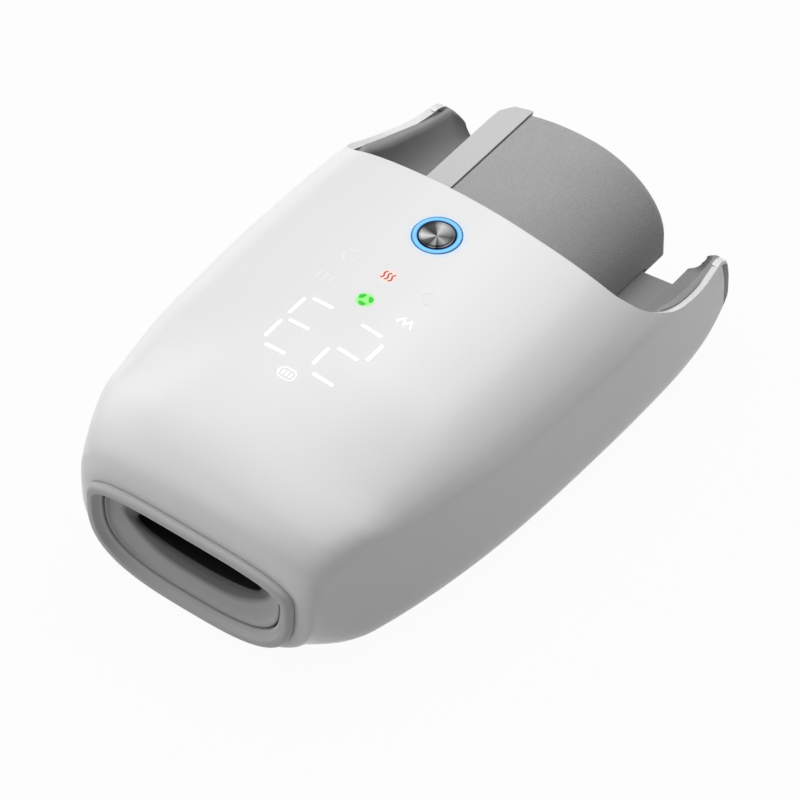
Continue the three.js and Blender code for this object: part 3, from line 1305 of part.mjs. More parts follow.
// Air release valve: a block with a bore for the plunger and an inlet nozzle
function airValve() {
  const half = VALVE_SIDE / 2;
  const z = BASE_FLOOR_Z + FIT + half;
  const rear = VALVE_FRONT_Y + VALVE_LENGTH;
  const block = boxSolid([VALVE_X - half, VALVE_FRONT_Y, z - half], [VALVE_X + half, rear, z + half]);
  const nozzleLength = NOZZLE_LENGTH + NOZZLE_ROOT;
  const nozzle = rodSolid(NOZZLE_DIAMETER, nozzleLength, [VALVE_X, rear - NOZZLE_ROOT, z], 'y', SMALL_SIDES);
  const boreFrom = VALVE_FRONT_Y - FIT;
  const bore = rodSolid(VALVE_BORE, VALVE_BORE_DEPTH + FIT, [VALVE_X, boreFrom, z], 'y', SMALL_SIDES);
  return block.add(nozzle).subtract(bore);
}

function valvePlunger() {
  const z = BASE_FLOOR_Z + FIT + VALVE_SIDE / 2;
  const headRear = VALVE_FRONT_Y - PLUNGER_TRAVEL - FIT;
  const headFrom = headRear - PLUNGER_HEAD_HEIGHT;
  const head = rodSolid(PLUNGER_HEAD_DIAMETER, PLUNGER_HEAD_HEIGHT, [VALVE_X, headFrom, z], 'y', SMALL_SIDES);
  const rodFrom = headRear - PLUNGER_HEAD_HEIGHT / 2;
  const rod = rodSolid(PLUNGER_DIAMETER, PLUNGER_LENGTH, [VALVE_X, rodFrom, z], 'y', SMALL_SIDES);
  return head.add(rod);
}

// A hose along a smooth path, with its bore
function hoseSolid(points) {
  const path = new THREE.CatmullRomCurve3(points.map((point) => new THREE.Vector3(...point)));
  const shape = new THREE.Shape();
  shape.absarc(0, 0, HOSE_OUTER / 2, 0, 2 * Math.PI, false);
  const hole = new THREE.Path();
  hole.absarc(0, 0, HOSE_BORE / 2, 0, 2 * Math.PI, true);
  shape.holes.push(hole);
  const steps = Math.round(path.getLength() / (HOSE_OUTER * HOSE_STEP_SHARE));
  return solidOf(new THREE.ExtrudeGeometry(shape, { steps, extrudePath: path, curveSegments: 4 }));
}

// From the pump's nozzle down beside the palm rest to the valve
function supplyHose() {
  const valveZ = BASE_FLOOR_Z + FIT + VALVE_SIDE / 2;
  const pumpEnd = MOTOR_LEFT_X + MOTOR_LENGTH + 2 * FIT + PUMP_HEAD_LENGTH;
  const valveEnd = VALVE_FRONT_Y + VALVE_LENGTH + FIT;
  const pumpZ = PUMP_Z - PUMP_OUTLET_DROP;
  const middleX = (pumpEnd + NOZZLE_LENGTH + VALVE_X) / 2;
  return hoseSolid([
    [pumpEnd, PUMP_Y, pumpZ],
    [pumpEnd + NOZZLE_LENGTH / 2, PUMP_Y, pumpZ],
    [pumpEnd + NOZZLE_LENGTH, PUMP_Y, pumpZ],
    [middleX, PUMP_Y, (pumpZ + valveZ) / 2],
    [VALVE_X - HOSE_OUTER / 4, (PUMP_Y + valveEnd + NOZZLE_LENGTH) / 2 + HOSE_OUTER / 2, valveZ],
    [VALVE_X, valveEnd + NOZZLE_LENGTH, valveZ],
    [VALVE_X, valveEnd + NOZZLE_LENGTH / 2, valveZ],
    [VALVE_X, valveEnd, valveZ],
  ]);
}

// Fan frame: a square frame with a round duct, a hub plate on struts and the shaft's pin
function fanHousing() {
  const half = FAN_SIDE / 2;
  const z = BASE_FLOOR_Z + FIT;
  const frame = boxSolid([-half, FAN_Y - half, z], [half, FAN_Y + half, z + FAN_HEIGHT])
    .subtract(rodSolid(FAN_BORE, RUN_OUT, [0, FAN_Y, 0]));
  const hub = rodSolid(FAN_HUB_DIAMETER, FAN_PLATE, [0, FAN_Y, z]);
  const struts = [0, 1, 2].map((turn) => {
    const strut = new THREE.BoxGeometry(FAN_SIDE, FAN_STRUT, FAN_PLATE);
    strut.rotateZ((Math.PI * turn) / 3 + Math.PI / 12);
    strut.translate(0, FAN_Y, z + FAN_PLATE / 2);
    return solidOf(strut).intersect(rodSolid(FAN_BORE + FAN_STRUT / 2, RUN_OUT, [0, FAN_Y, 0]));
  });
  const pin = rodSolid(FAN_PIN_DIAMETER, FAN_HEIGHT * FAN_PIN_SHARE, [0, FAN_Y, z], 'z', SMALL_SIDES);
  return joined([frame, hub, ...struts, pin]);
}

// Impeller: a hub cup on the pin with tilted blades
function fanImpeller() {
  const z = BASE_FLOOR_Z + FIT + FAN_PLATE + FIT;
  const height = FAN_HEIGHT - FAN_PLATE - 2 * FIT;
  const hub = rodSolid(FAN_HUB_DIAMETER, height, [0, FAN_Y, z]);
  const tip = FAN_BORE / 2 - FAN_BLADE_TIP_GAP;
  const root = FAN_HUB_DIAMETER / 2 - FAN_BLADE_THICKNESS;
  const blades = [];
  for (let i = 0; i < FAN_BLADE_COUNT; i += 1) {
    const blade = new THREE.BoxGeometry(tip - root, FAN_BLADE_THICKNESS, 2 * height);
    blade.rotateX(FAN_BLADE_TILT);
    blade.translate((tip + root) / 2, 0, 0);
    blade.rotateZ((2 * Math.PI * i) / FAN_BLADE_COUNT);
    blade.translate(0, FAN_Y, z + height / 2);
    blades.push(solidOf(blade));
  }
  const sweep = rodSolid(2 * tip, height, [0, FAN_Y, z]);
  const bore = rodSolid(
    FAN_PIN_DIAMETER + 2 * FIT,
    FAN_HEIGHT * FAN_PIN_SHARE - FAN_PLATE,
    [0, FAN_Y, z - FIT],
    'z',
    SMALL_SIDES,
  );
  return joined(blades).intersect(sweep).add(hub).subtract(bore);
}

// Two ribs of the base that hold the vibration motor
function shakerSeats() {
  const z = shakerZ();
  return SHAKER_SEAT_SHARES.map((share) => {
    const x = -SHAKER_LENGTH / 2 + SHAKER_LENGTH * share;
    const rib = boxSolid(
      [x - SHAKER_SEAT_LENGTH / 2, SHAKER_Y - SHAKER_SEAT_WIDTH / 2, bodyBottom(SHAKER_Y) + SHELL_WALL / 2],
      [x + SHAKER_SEAT_LENGTH / 2, SHAKER_Y + SHAKER_SEAT_WIDTH / 2, z],
    );
    return rib.subtract(rodSolid(SHAKER_DIAMETER + 2 * FIT, BODY_WIDTH, [-HALF_WIDTH, SHAKER_Y, z], 'x'));
  });
}

function shakerZ() {
  return DECK_UNDERSIDE_Z - FIT - SHAKER_DIAMETER / 2;
}

function vibrationMotor() {
  const left = -SHAKER_LENGTH / 2;
  const can = rodSolid(SHAKER_DIAMETER, SHAKER_LENGTH, [left, SHAKER_Y, shakerZ()], 'x');
  return can.subtract(rodSolid(
    SHAKER_SHAFT_DIAMETER + 2 * FIT,
    SHAKER_SHAFT_SOCKET + FIT,
    [left + SHAKER_LENGTH - SHAKER_SHAFT_SOCKET, SHAKER_Y, shakerZ()],
    'x',
    SMALL_SIDES,
  ));
}

// Half-round weight on the vibration motor's shaft
function vibrationWeight() {
  const face = SHAKER_LENGTH / 2;
  const z = shakerZ();
  const from = face - SHAKER_SHAFT_SOCKET + FIT;
  const weightFrom = face + WEIGHT_GAP;
  const shaft = rodSolid(
    SHAKER_SHAFT_DIAMETER,
    weightFrom + WEIGHT_LENGTH / 2 - from,
    [from, SHAKER_Y, z],
    'x',
    SMALL_SIDES,
  );
  const disc = rodSolid(2 * WEIGHT_RADIUS, WEIGHT_LENGTH, [weightFrom, SHAKER_Y, z], 'x')
    .subtract(boxSolid(
      [weightFrom - FIT, SHAKER_Y - SHAKER_DIAMETER, z + SHAKER_SHAFT_DIAMETER / 2],
      [weightFrom + WEIGHT_LENGTH + FIT, SHAKER_Y + SHAKER_DIAMETER, z + SHAKER_DIAMETER],
    ));
  return shaft.add(disc);
}

// Feet and screws

function rubberFoot(x, y) {
  const depth = BODY_BOTTOM + FOOT_RECESS - FIT;
  return latheSolid([
    [0, 0], [FOOT_DIAMETER / 2 - FOOT_RECESS, 0], [FOOT_DIAMETER / 2, FOOT_RECESS / 2],
    [FOOT_DIAMETER / 2, depth], [0, depth],
  ], [x, y, 0], SMALL_SIDES);
}

function caseScrew(x, y) {
  const head = bodyBottom(y) + SCREW_WELL_DEPTH - FIT - SCREW_HEAD_HEIGHT;
  const shaft = rodSolid(SCREW_DIAMETER, SCREW_LENGTH, [x, y, head], 'z', SMALL_SIDES);
  return shaft.add(rodSolid(SCREW_HEAD_DIAMETER, SCREW_HEAD_HEIGHT, [x, y, head], 'z', SMALL_SIDES));
}

// The whole massager

function piece(name, solid, finish) {
  const material = new THREE.MeshStandardMaterial(finish);
  const mesh = new THREE.Mesh(geometryOf(solid), material);
  mesh.name = name;
  return mesh;
}

function upperPieces() {
  const group = new THREE.Group();
  group.add(
    piece('top_shell', topShell(), WHITE_GLOSS),
    piece('light_ring', lightRing(), BLUE_LIGHT),
    piece('button_cap', buttonCap(), STEEL),
    piece('button_switch', buttonSwitch(), DARK_PLASTIC),
    piece('display_board', displayBoard(), BOARD_GREEN),
    piece('display_guide', displayGuide(), LIGHT_GREY),
    piece('upper_carrier', upperCarrier(), LIGHT_GREY),
    piece('upper_airbag', upperAirbag(), FABRIC_GREY),
  );
  return group;
}

function handSpacePieces() {
  const group = new THREE.Group();
  group.add(
    piece('front_bezel', frontBezel(), LIGHT_GREY),
    piece('front_funnel', frontFunnel(), LIGHT_GREY),
    piece('left_side_liner', sideLiner(-1), MID_GREY),
    piece('right_side_liner', sideLiner(1), MID_GREY),
    piece('lower_deck', lowerDeck(), MID_GREY),
    piece('finger_pad', fingerPad(), FABRIC_GREY),
    piece('palm_rest_frame', palmRestFrame(), LIGHT_GREY),
    piece('palm_cushion', palmCushion(), FABRIC_GREY),
    piece('heating_film', heatingFilm(), COPPER_FILM),
  );
  return group;
}

function basePieces() {
  const group = new THREE.Group();
  group.add(
    piece('base_shell', baseShell(), MID_GREY),
    piece('battery_holder', batteryHolder(), DARK_PLASTIC),
    piece('battery_cell_left', batteryCell(-1), CELL_WRAP),
    piece('battery_cell_right', batteryCell(1), CELL_WRAP),
    piece('main_board', mainBoard(), BOARD_GREEN),
    piece('charging_socket', chargingSocket(), STEEL),
    piece('pump_cradle', pumpCradle(), BLACK_RUBBER),
    piece('pump_motor', pumpMotor(), STEEL),
    piece('pump_head', pumpHead(), DARK_PLASTIC),
    piece('pump_crank', pumpCrank(), STEEL),
    piece('air_valve', airValve(), DARK_PLASTIC),
    piece('valve_plunger', valvePlunger(), STEEL),
    piece('supply_hose', supplyHose(), CLEAR_SILICONE),
    piece('airbag_hose', airbagHose(), CLEAR_SILICONE),
    piece('fan_housing', fanHousing(), DARK_PLASTIC),
    piece('fan_impeller', fanImpeller(), DARK_PLASTIC),
    piece('vibration_motor', vibrationMotor(), STEEL),
    piece('vibration_weight', vibrationWeight(), STEEL),
  );
  cornerPlaces(SCREW_X, SCREW_FRONT_Y, SCREW_REAR_Y).forEach(([x, y], i) => {
    group.add(piece(`case_screw_${i + 1}`, caseScrew(x, y), STEEL));
  });
  cornerPlaces(FOOT_X, FOOT_FRONT_Y, FOOT_REAR_Y).forEach(([x, y], i) => {
    group.add(piece(`rubber_foot_${i + 1}`, rubberFoot(x, y), BLACK_RUBBER));
  });
  return group;
}

// From the valve under the deck, up the side wall in front of the liner, to the ceiling plate
function airbagHose() {
  const z = BASE_FLOOR_Z + FIT + VALVE_SIDE / 2;
  const low = BASE_FLOOR_Z + FIT + HOSE_OUTER;
  const front = VALVE_FRONT_Y - PLUNGER_TRAVEL - PLUNGER_HEAD_HEIGHT - HOSE_START_GAP;
  const wallX = bodyHalfWidth(HOSE_RISE_Y) - SHELL_WALL - FIT - HOSE_OUTER / 2 - HOSE_WALL_GAP;
  const carrierX = wallX - HOSE_CARRIER_REACH;
  return hoseSolid([
    [VALVE_X + VALVE_SIDE / 2 + HOSE_OUTER / 2 + FIT, VALVE_FRONT_Y + VALVE_LENGTH / 2, low],
    [VALVE_X + VALVE_SIDE / 2 + HOSE_OUTER / 2 + FIT, front, low],
    [VALVE_X + VALVE_SIDE, FAN_Y + FAN_SIDE, low],
    [(VALVE_X + wallX) / 2, HOSE_RISE_Y + FAN_SIDE / 2, low],
    [wallX - HOSE_OUTER, HOSE_RISE_Y + HOSE_OUTER, z + HOSE_OUTER],
    [wallX, HOSE_RISE_Y, HAND_FLOOR_Z + HOSE_OUTER],
    [wallX, HOSE_RISE_Y, HAND_SHOULDER_Z - HOSE_OUTER],
    [wallX - HOSE_OUTER / 2, HOSE_RISE_Y, HOSE_TOP_Z - HOSE_OUTER / 2],
    [carrierX, HOSE_RISE_Y, HOSE_TOP_Z + HOSE_OUTER],
  ]);
}

const massager = new THREE.Group();
massager.name = 'hand_massager';
massager.add(upperPieces(), handSpacePieces(), basePieces());

export default massager;
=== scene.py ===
# %% [markdown]
# # A hand massager, piece by piece
#
# The object is a moulded white cover over a grey base, open at the back for one hand. Under the
# cover lies a palm rest with cloth over foam, and at the front a slot shows the fingertips.
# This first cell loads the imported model, which fixes where everything sits. The pieces that are
# already right only get a better finish; the ones with broad smooth curves are made again here
# with far more faces, because gloss shows every flat facet.

# %% Load the model that everything is fitted to
import json
import math

import bmesh
import bpy
from mathutils import Matrix, Vector

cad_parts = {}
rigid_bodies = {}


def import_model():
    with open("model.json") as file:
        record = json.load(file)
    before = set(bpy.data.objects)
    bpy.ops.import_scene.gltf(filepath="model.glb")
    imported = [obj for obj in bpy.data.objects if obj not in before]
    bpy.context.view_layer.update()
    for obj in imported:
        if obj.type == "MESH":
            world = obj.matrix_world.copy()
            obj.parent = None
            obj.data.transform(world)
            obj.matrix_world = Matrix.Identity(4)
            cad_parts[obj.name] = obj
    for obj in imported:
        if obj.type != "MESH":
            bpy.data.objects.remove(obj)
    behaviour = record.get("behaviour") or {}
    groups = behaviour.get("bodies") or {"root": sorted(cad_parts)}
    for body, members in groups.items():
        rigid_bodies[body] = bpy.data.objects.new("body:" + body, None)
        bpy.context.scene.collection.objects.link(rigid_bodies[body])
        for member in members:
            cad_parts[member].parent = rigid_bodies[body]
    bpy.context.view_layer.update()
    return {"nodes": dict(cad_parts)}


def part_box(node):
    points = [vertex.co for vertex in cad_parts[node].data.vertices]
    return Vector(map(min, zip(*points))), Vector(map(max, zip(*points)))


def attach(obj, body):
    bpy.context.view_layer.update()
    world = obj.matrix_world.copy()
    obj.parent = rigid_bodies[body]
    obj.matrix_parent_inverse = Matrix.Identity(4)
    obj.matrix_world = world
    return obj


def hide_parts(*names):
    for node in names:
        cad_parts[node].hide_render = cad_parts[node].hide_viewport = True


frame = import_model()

MM = 0.001
nodes = frame["nodes"]

# %% [markdown]
# ## Camera
#
# The picture is a long-lens product shot: the far and the near edge keep nearly the same scale.
# A lens of 360 mm from 2.7 m gives that flat look. The camera looks down by 47 degrees from a
# place 38 degrees round from the front, so its turn is built from three axes: right, up and back.

# %% Place the camera
CAMERA_AZIMUTH = math.radians(38)
CAMERA_ELEVATION = math.radians(47)
CAMERA_DISTANCE = 2.7
CAMERA_LENS = 360
SENSOR_WIDTH = 36
FARTHEST = 20
LOOK_AT = Vector((1.08, 1.56, 13.34)) * MM


def add_object(name, data):
    made = bpy.data.objects.new(name, data)
    bpy.context.collection.objects.link(made)
    return made


def place_camera():
    right = Vector((math.cos(CAMERA_AZIMUTH), math.sin(CAMERA_AZIMUTH), 0))
    level = Vector((math.sin(CAMERA_AZIMUTH), -math.cos(CAMERA_AZIMUTH), 0))
    back = level * math.cos(CAMERA_ELEVATION) + Vector((0, 0, math.sin(CAMERA_ELEVATION)))
    up = back.cross(right)
    data = bpy.data.cameras.new("camera")
    data.lens = CAMERA_LENS
    data.sensor_width = SENSOR_WIDTH
    data.clip_end = FARTHEST
    camera = add_object("camera", data)
    turn = Matrix((right, up, back)).transposed().to_4x4()
    camera.matrix_world = Matrix.Translation(LOOK_AT + back * CAMERA_DISTANCE) @ turn
    bpy.context.scene.camera = camera
    return camera


camera = place_camera()
print("camera at", [round(value, 3) for value in camera.location])

# %% [markdown]
# ## Materials
#
# A material is a small network of nodes. All of them here read Object coordinates, which are
# metres on the object itself, so a grain of 0.4 mm needs a noise scale of about 2500. The helper
# `paint` makes the material and returns its tree and shader, `link` joins two sockets by name, and
# `on_object` adds a node that reads those coordinates.

# %% Helpers for node trees
def paint(name, **shader_values):
    material = bpy.data.materials.new(name)
    material.use_nodes = True
    tree = material.node_tree
    shader = tree.nodes["Principled BSDF"]
    for socket, value in shader_values.items():
        shader.inputs[socket.replace("_", " ")].default_value = value
    return material, tree, shader


def node(tree, kind, values=(), **settings):
    made = tree.nodes.new(kind)
    for key, value in settings.items():
        setattr(made, key, value)
    for socket, value in dict(values).items():
        made.inputs[socket].default_value = value
    return made


def link(tree, source, output, target, socket):
    tree.links.new(source.outputs[output], target.inputs[socket])


def on_object(tree, kind, values=()):
    """A node that reads Object coordinates."""
    made = node(tree, kind, values)
    link(tree, node(tree, "ShaderNodeTexCoord"), "Object", made, "Vector")
    return made


def noise(tree, scale, detail=2.0, roughness=0.5):
    return on_object(tree, "ShaderNodeTexNoise", {
        "Scale": scale, "Detail": detail, "Roughness": roughness})


def ramp(tree, source, output, stops):
    made = node(tree, "ShaderNodeValToRGB")
    colours = made.color_ramp.elements
    while len(colours) < len(stops):
        colours.new(0.5)
    for stop, (place, colour) in zip(colours, stops):
        stop.position = place
        stop.color = (*colour, 1) if len(colour) == 3 else colour
    link(tree, source, output, made, "Fac")
    return made


def raise_bumps(tree, shader, source, output, strength, depth):
    made = node(tree, "ShaderNodeBump", {"Strength": strength, "Distance": depth})
    link(tree, source, output, made, "Height")
    link(tree, made, "Normal", shader, "Normal")


def spread(tree, source, output, low, high):
    """Turns a share from 0 to 1 into a value from low to high."""
    made = node(tree, "ShaderNodeMapRange", {"To Min": low, "To Max": high})
    link(tree, source, output, made, "Value")
    return made


def vary_gloss(tree, shader, source, low, high):
    link(tree, spread(tree, source, "Fac", low, high), "Result", shader, "Roughness")


def scaled_colour(tree, shader, colour, level):
    """The base colour is a colour made brighter or darker by a level."""
    toned = node(tree, "ShaderNodeVectorMath", operation="SCALE")
    link(tree, colour, "Color", toned, 0)
    link(tree, level, "Result", toned, "Scale")
    link(tree, toned, "Vector", shader, "Base Color")


def grained(tree, shader, scale, detail, low, high, bump, depth=0.00005):
    """One fine noise drives both the roughness, from low to high, and the bumps."""
    fine = noise(tree, scale, detail)
    vary_gloss(tree, shader, fine, low, high)
    raise_bumps(tree, shader, fine, "Fac", bump, depth)


def mottled(tree, scale, detail, darker, tone, low=0.3, high=0.7):
    """A noise that mixes two near tones."""
    return ramp(tree, noise(tree, scale, detail), "Fac", [(low, darker), (high, tone)])


# %% [markdown]
# ## Moulded plastic
#
# Injection-moulded parts are never one even colour. The tone drifts a little over centimetres, the
# surface has a fine spark-eroded grain, and the gloss varies with it. `moulded` puts these three
# together: a broad noise mixes two near tones, and a fine noise drives roughness and bumps.

# %% A recipe for moulded plastic
def moulded(name, tone, darker, rough, grain, bump):
    material, tree, shader = paint(name)
    link(tree, mottled(tree, 18, 1, darker, tone), "Color", shader, "Base Color")
    grained(tree, shader, grain, 3, rough * 0.85, rough * 1.15, bump)
    return material


def grey(value):
    return (value, value * 1.004, value * 1.01)


dark_plastic = moulded("satin_black_moulding", grey(0.022), grey(0.016), 0.5, 2600, 0.35)
light_grey_plastic = moulded("satin_light_grey", grey(0.56), grey(0.54), 0.42, 2400, 0.18)
ring_grey = moulded("satin_ring_grey", grey(0.5), grey(0.48), 0.36, 2400, 0.15)
mid_grey_plastic = moulded("satin_mid_grey", grey(0.29), grey(0.27), 0.45, 2400, 0.2)
deck_grey = moulded("deck_grey", grey(0.25), grey(0.235), 0.5, 2200, 0.25)
base_plastic = moulded("base_grey", grey(0.21), grey(0.195), 0.42, 2400, 0.2)
print("moulded plastics:", dark_plastic.name, light_grey_plastic.name, mid_grey_plastic.name)

# %% [markdown]
# ## White gloss with light behind it
#
# The cover is glossy white. A thin clear coat adds a sharper reflection to the soft one, and a
# very weak bump keeps it from being a perfect mirror, as on a real moulding. Round the blue ring
# and round the coloured signs the light that spreads in the plastic is painted into its base
# colour: a painted glow, a soft tint that falls off with the distance. That distance comes from
# Object coordinates moved by a Mapping node.

# %% The white cover's material
BUTTON_Y = sum(corner[1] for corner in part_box("button_cap")) / 2
BUTTON_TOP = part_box("button_cap")[1][2]
HEAT_SIGN = (-1.2, -1.9)
FAN_SIGN = (-0.6, -15.1)
BLUE_GLOW = (0.66, 0.79, 0.93)
RED_GLOW = (0.97, 0.76, 0.7)
GREEN_GLOW = (0.3, 0.97, 0.22)


def centred_plan(tree, x, y):
    """Object coordinates seen from above, counted from a point of the plan."""
    return on_object(tree, "ShaderNodeMapping", {"Location": (-x, -y, 0), "Scale": (1, 1, 0)})


def distance_from(tree, x, y):
    length = node(tree, "ShaderNodeVectorMath", operation="LENGTH")
    link(tree, centred_plan(tree, x, y), "Vector", length, 0)
    return length


def painted_glow_near(tree, source, output, place, near, far, tint):
    """Mixes a painted glow into a colour round one place: full up to near, nothing beyond far."""
    away = distance_from(tree, place[0] * MM, place[1] * MM)
    share = node(tree, "ShaderNodeMapRange", {
        "From Min": near * MM, "From Max": far * MM, "To Min": 1.0, "To Max": 0.0},
        interpolation_type="SMOOTHSTEP")
    link(tree, away, "Value", share, "Value")
    mixed = node(tree, "ShaderNodeMix", {7: (*tint, 1)}, data_type="RGBA")
    link(tree, share, "Result", mixed, 0)
    link(tree, source, output, mixed, 6)
    return mixed


def white_gloss():
    material, tree, shader = paint(
        "white_gloss_cover", Coat_Weight=0.2, Coat_Roughness=0.12, Specular_IOR_Level=0.45)
    colour = mottled(tree, 14, 1, (0.785, 0.787, 0.79), (0.8, 0.8, 0.802))
    # Painted glow: the blue ring's and the signs' light is mixed into the base colour round them.
    blue = painted_glow_near(tree, colour, "Color", (0, BUTTON_Y / MM), 8.7, 11.0, BLUE_GLOW)
    red = painted_glow_near(tree, blue, 2, HEAT_SIGN, 2.0, 4.2, RED_GLOW)
    green = painted_glow_near(tree, red, 2, FAN_SIGN, 2.2, 4.0, GREEN_GLOW)
    link(tree, green, 2, shader, "Base Color")
    grained(tree, shader, 420, 2, 0.27, 0.33, 0.02)
    return material


cover_white = white_gloss()
print("cover finish:", cover_white.name)

# %% [markdown]
# ## Cloth
#
# The palm rest is covered with a tight fine-grained knit. Seen from half a metre it is an even
# mid grey with a tiny speckle. A noise of about 0.4 mm and cells of about 0.5 mm are added up, and
# the sum makes both the speckle and the bumps. A broad noise lets the tone drift, and sheen gives
# the soft bright rim that cloth has at a low angle.

# %% The cloth's material
def knit(name, tone, darker, scale=1.0):
    material, tree, shader = paint(
        name, Roughness=0.92, Specular_IOR_Level=0.2, Sheen_Weight=0.25, Sheen_Roughness=0.5)
    shader.inputs["Sheen Tint"].default_value = (0.9, 0.9, 0.92, 1)
    fine = noise(tree, 2600 * scale, detail=3, roughness=0.65)
    cells = on_object(tree, "ShaderNodeTexVoronoi", {"Scale": 1900 * scale})
    mixed = node(tree, "ShaderNodeMath", operation="ADD")
    link(tree, fine, "Fac", mixed, 0)
    link(tree, cells, "Distance", mixed, 1)
    colour = ramp(tree, mixed, "Value", [(0.45, darker), (1.0, tone)])
    drift = spread(tree, noise(tree, 30, detail=2), "Fac", 0.94, 1.05)
    scaled_colour(tree, shader, colour, drift)
    raise_bumps(tree, shader, mixed, "Value", 0.55, 0.00012)
    return material


cushion_cloth = knit("palm_cloth", grey(0.385), grey(0.265))
# Painted shade: the finger pad and the airbag are near black, a dark colour that stands in for the
# shade inside the body.
pad_cloth = knit("finger_pad_cloth", grey(0.035), grey(0.02))
airbag_cloth = knit("airbag_cloth", grey(0.04), grey(0.024), scale=0.7)
print("cloths:", cushion_cloth.name, pad_cloth.name, airbag_cloth.name)

# %% [markdown]
# ## Metal, rubber and the inner pieces
#
# Plated parts and screws differ in how the fine scratches run: a noise that is squeezed along one
# axis by a Mapping node gives scratches across that axis. Circuit boards are green with a lighter
# pattern of tracks, cells have a blue shrink wrap, and hoses are milky silicone.

# %% Finishes for the inner pieces
def brushed_steel(name, stretch, tone=0.6, rough=0.3):
    material, tree, shader = paint(name, Metallic=1.0)
    squeezed = on_object(tree, "ShaderNodeMapping", {"Scale": stretch})
    scratches = node(tree, "ShaderNodeTexNoise", {"Scale": 900.0, "Detail": 4.0})
    link(tree, squeezed, "Vector", scratches, "Vector")
    colour = ramp(tree, scratches, "Fac", [(0.25, grey(tone * 0.8)), (0.75, grey(tone * 1.1))])
    link(tree, colour, "Color", shader, "Base Color")
    vary_gloss(tree, shader, scratches, rough * 0.7, rough * 1.3)
    raise_bumps(tree, shader, scratches, "Fac", 0.15, 0.00003)
    return material


def circuit_board(name):
    material, tree, shader = paint(name, Roughness=0.4, Specular_IOR_Level=0.6)
    tracks = on_object(tree, "ShaderNodeTexBrick", {
        "Scale": 260.0, "Color1": (0.02, 0.14, 0.07, 1), "Color2": (0.025, 0.17, 0.085, 1),
        "Mortar": (0.05, 0.25, 0.13, 1), "Mortar Size": 0.03})
    link(tree, tracks, "Color", shader, "Base Color")
    raise_bumps(tree, shader, tracks, "Fac", 0.2, 0.00004)
    return material


def soft_plastic(name, tone, darker, rough, see_through=0.0):
    material, tree, shader = paint(name, Transmission_Weight=see_through, IOR=1.42)
    link(tree, mottled(tree, 60, 2, darker, tone), "Color", shader, "Base Color")
    grained(tree, shader, 1800, 2, rough * 0.85, rough * 1.1, 0.25, 0.00006)
    return material


steel = brushed_steel("plated_steel", (1, 1, 12))
screw_steel = brushed_steel("screw_steel", (6, 1, 1), tone=0.5, rough=0.35)
board_green = circuit_board("board_green")
black_rubber = soft_plastic("black_rubber", grey(0.02), grey(0.013), 0.85)
milky_silicone = soft_plastic("milky_silicone", (0.72, 0.74, 0.75), (0.64, 0.66, 0.67), 0.35, 0.35)
cell_wrap = soft_plastic("cell_wrap", (0.03, 0.13, 0.42), (0.022, 0.1, 0.34), 0.3)
heater_film = soft_plastic("heater_film", (0.5, 0.26, 0.08), (0.4, 0.19, 0.05), 0.35)
print("inner finishes:", steel.name, board_green.name, black_rubber.name, cell_wrap.name)

# %% [markdown]
# ## Dress the nodes that keep their shape
#
# A node from the model is never moved or reshaped. Its finish changes by putting a material in its
# slots, one line for each group of pieces.

# %% Give every node its finish
finishes = {
    cover_white: ["top_shell"],
    light_grey_plastic: ["front_bezel", "front_funnel", "palm_rest_frame", "upper_carrier",
                         "display_guide", "light_ring"],
    mid_grey_plastic: ["left_side_liner", "right_side_liner"],
    deck_grey: ["lower_deck"],
    base_plastic: ["base_shell"],
    dark_plastic: ["button_switch", "battery_holder", "pump_head", "air_valve", "fan_housing",
                   "fan_impeller"],
    steel: ["button_cap", "charging_socket", "pump_motor", "pump_crank", "valve_plunger",
            "vibration_motor", "vibration_weight"],
    screw_steel: [f"case_screw_{i}" for i in range(1, 5)],
    board_green: ["display_board", "main_board"],
    black_rubber: ["pump_cradle"] + [f"rubber_foot_{i}" for i in range(1, 5)],
    milky_silicone: ["supply_hose", "airbag_hose"],
    cell_wrap: ["battery_cell_left", "battery_cell_right"],
    heater_film: ["heating_film"],
    cushion_cloth: ["palm_cushion"],
    pad_cloth: ["finger_pad"],
    airbag_cloth: ["upper_airbag"],
}


def dress_nodes():
    for material, names in finishes.items():
        for name in names:
            slots = nodes[name].data.materials
            slots.clear()
            slots.append(material)


dress_nodes()
left_bare = set(nodes) - {name for names in finishes.values() for name in names}
print("nodes without a finish:", sorted(left_bare))

# %% [markdown]
# ## Small sums used by every curved piece
#
# The body is a row of rings across the Y axis. Each ring is a superellipse above the shoulder and
# another below it: a high power makes a boxy corner, a power of 2 makes an ellipse. `quarter`
# walks along one quarter with nearly even steps, and `even` spaces the points of any line evenly.
# From here on the sums are in millimetres, and each finished piece is scaled to metres once.

# %% Helpers for curves
def clamp(value, low=0.0, high=1.0):
    return max(low, min(high, value))


def smooth(value):
    share = clamp(value)
    return share * share * (3 - 2 * share)


def round_drop(radius, run):
    reach = clamp(run / radius)
    return radius * (1 - math.sqrt(1 - reach * reach))


def curve_at(pairs, place):
    """Reads a table of pairs as one smooth curve that never overshoots."""
    if place <= pairs[0][0]:
        return pairs[0][1]
    if place >= pairs[-1][0]:
        return pairs[-1][1]
    slopes = [(b[1] - a[1]) / (b[0] - a[0]) for a, b in zip(pairs, pairs[1:])]
    leans = [slopes[0]]
    for a, b in zip(slopes, slopes[1:]):
        leans.append(0.0 if a * b <= 0 else 2 * a * b / (a + b))
    leans.append(slopes[-1])
    i = max(k for k in range(len(pairs) - 1) if pairs[k][0] <= place)
    (x0, y0), (x1, y1) = pairs[i], pairs[i + 1]
    span = x1 - x0
    t = (place - x0) / span
    return ((1 + 2 * t) * (1 - t) ** 2 * y0 + t * (1 - t) ** 2 * span * leans[i]
            + t * t * (3 - 2 * t) * y1 + t * t * (t - 1) * span * leans[i + 1])


def rounded(share, power):
    """Height that a superellipse of size 1 has left at a share of its half width."""
    return (1 - share ** power) ** (1 / power)


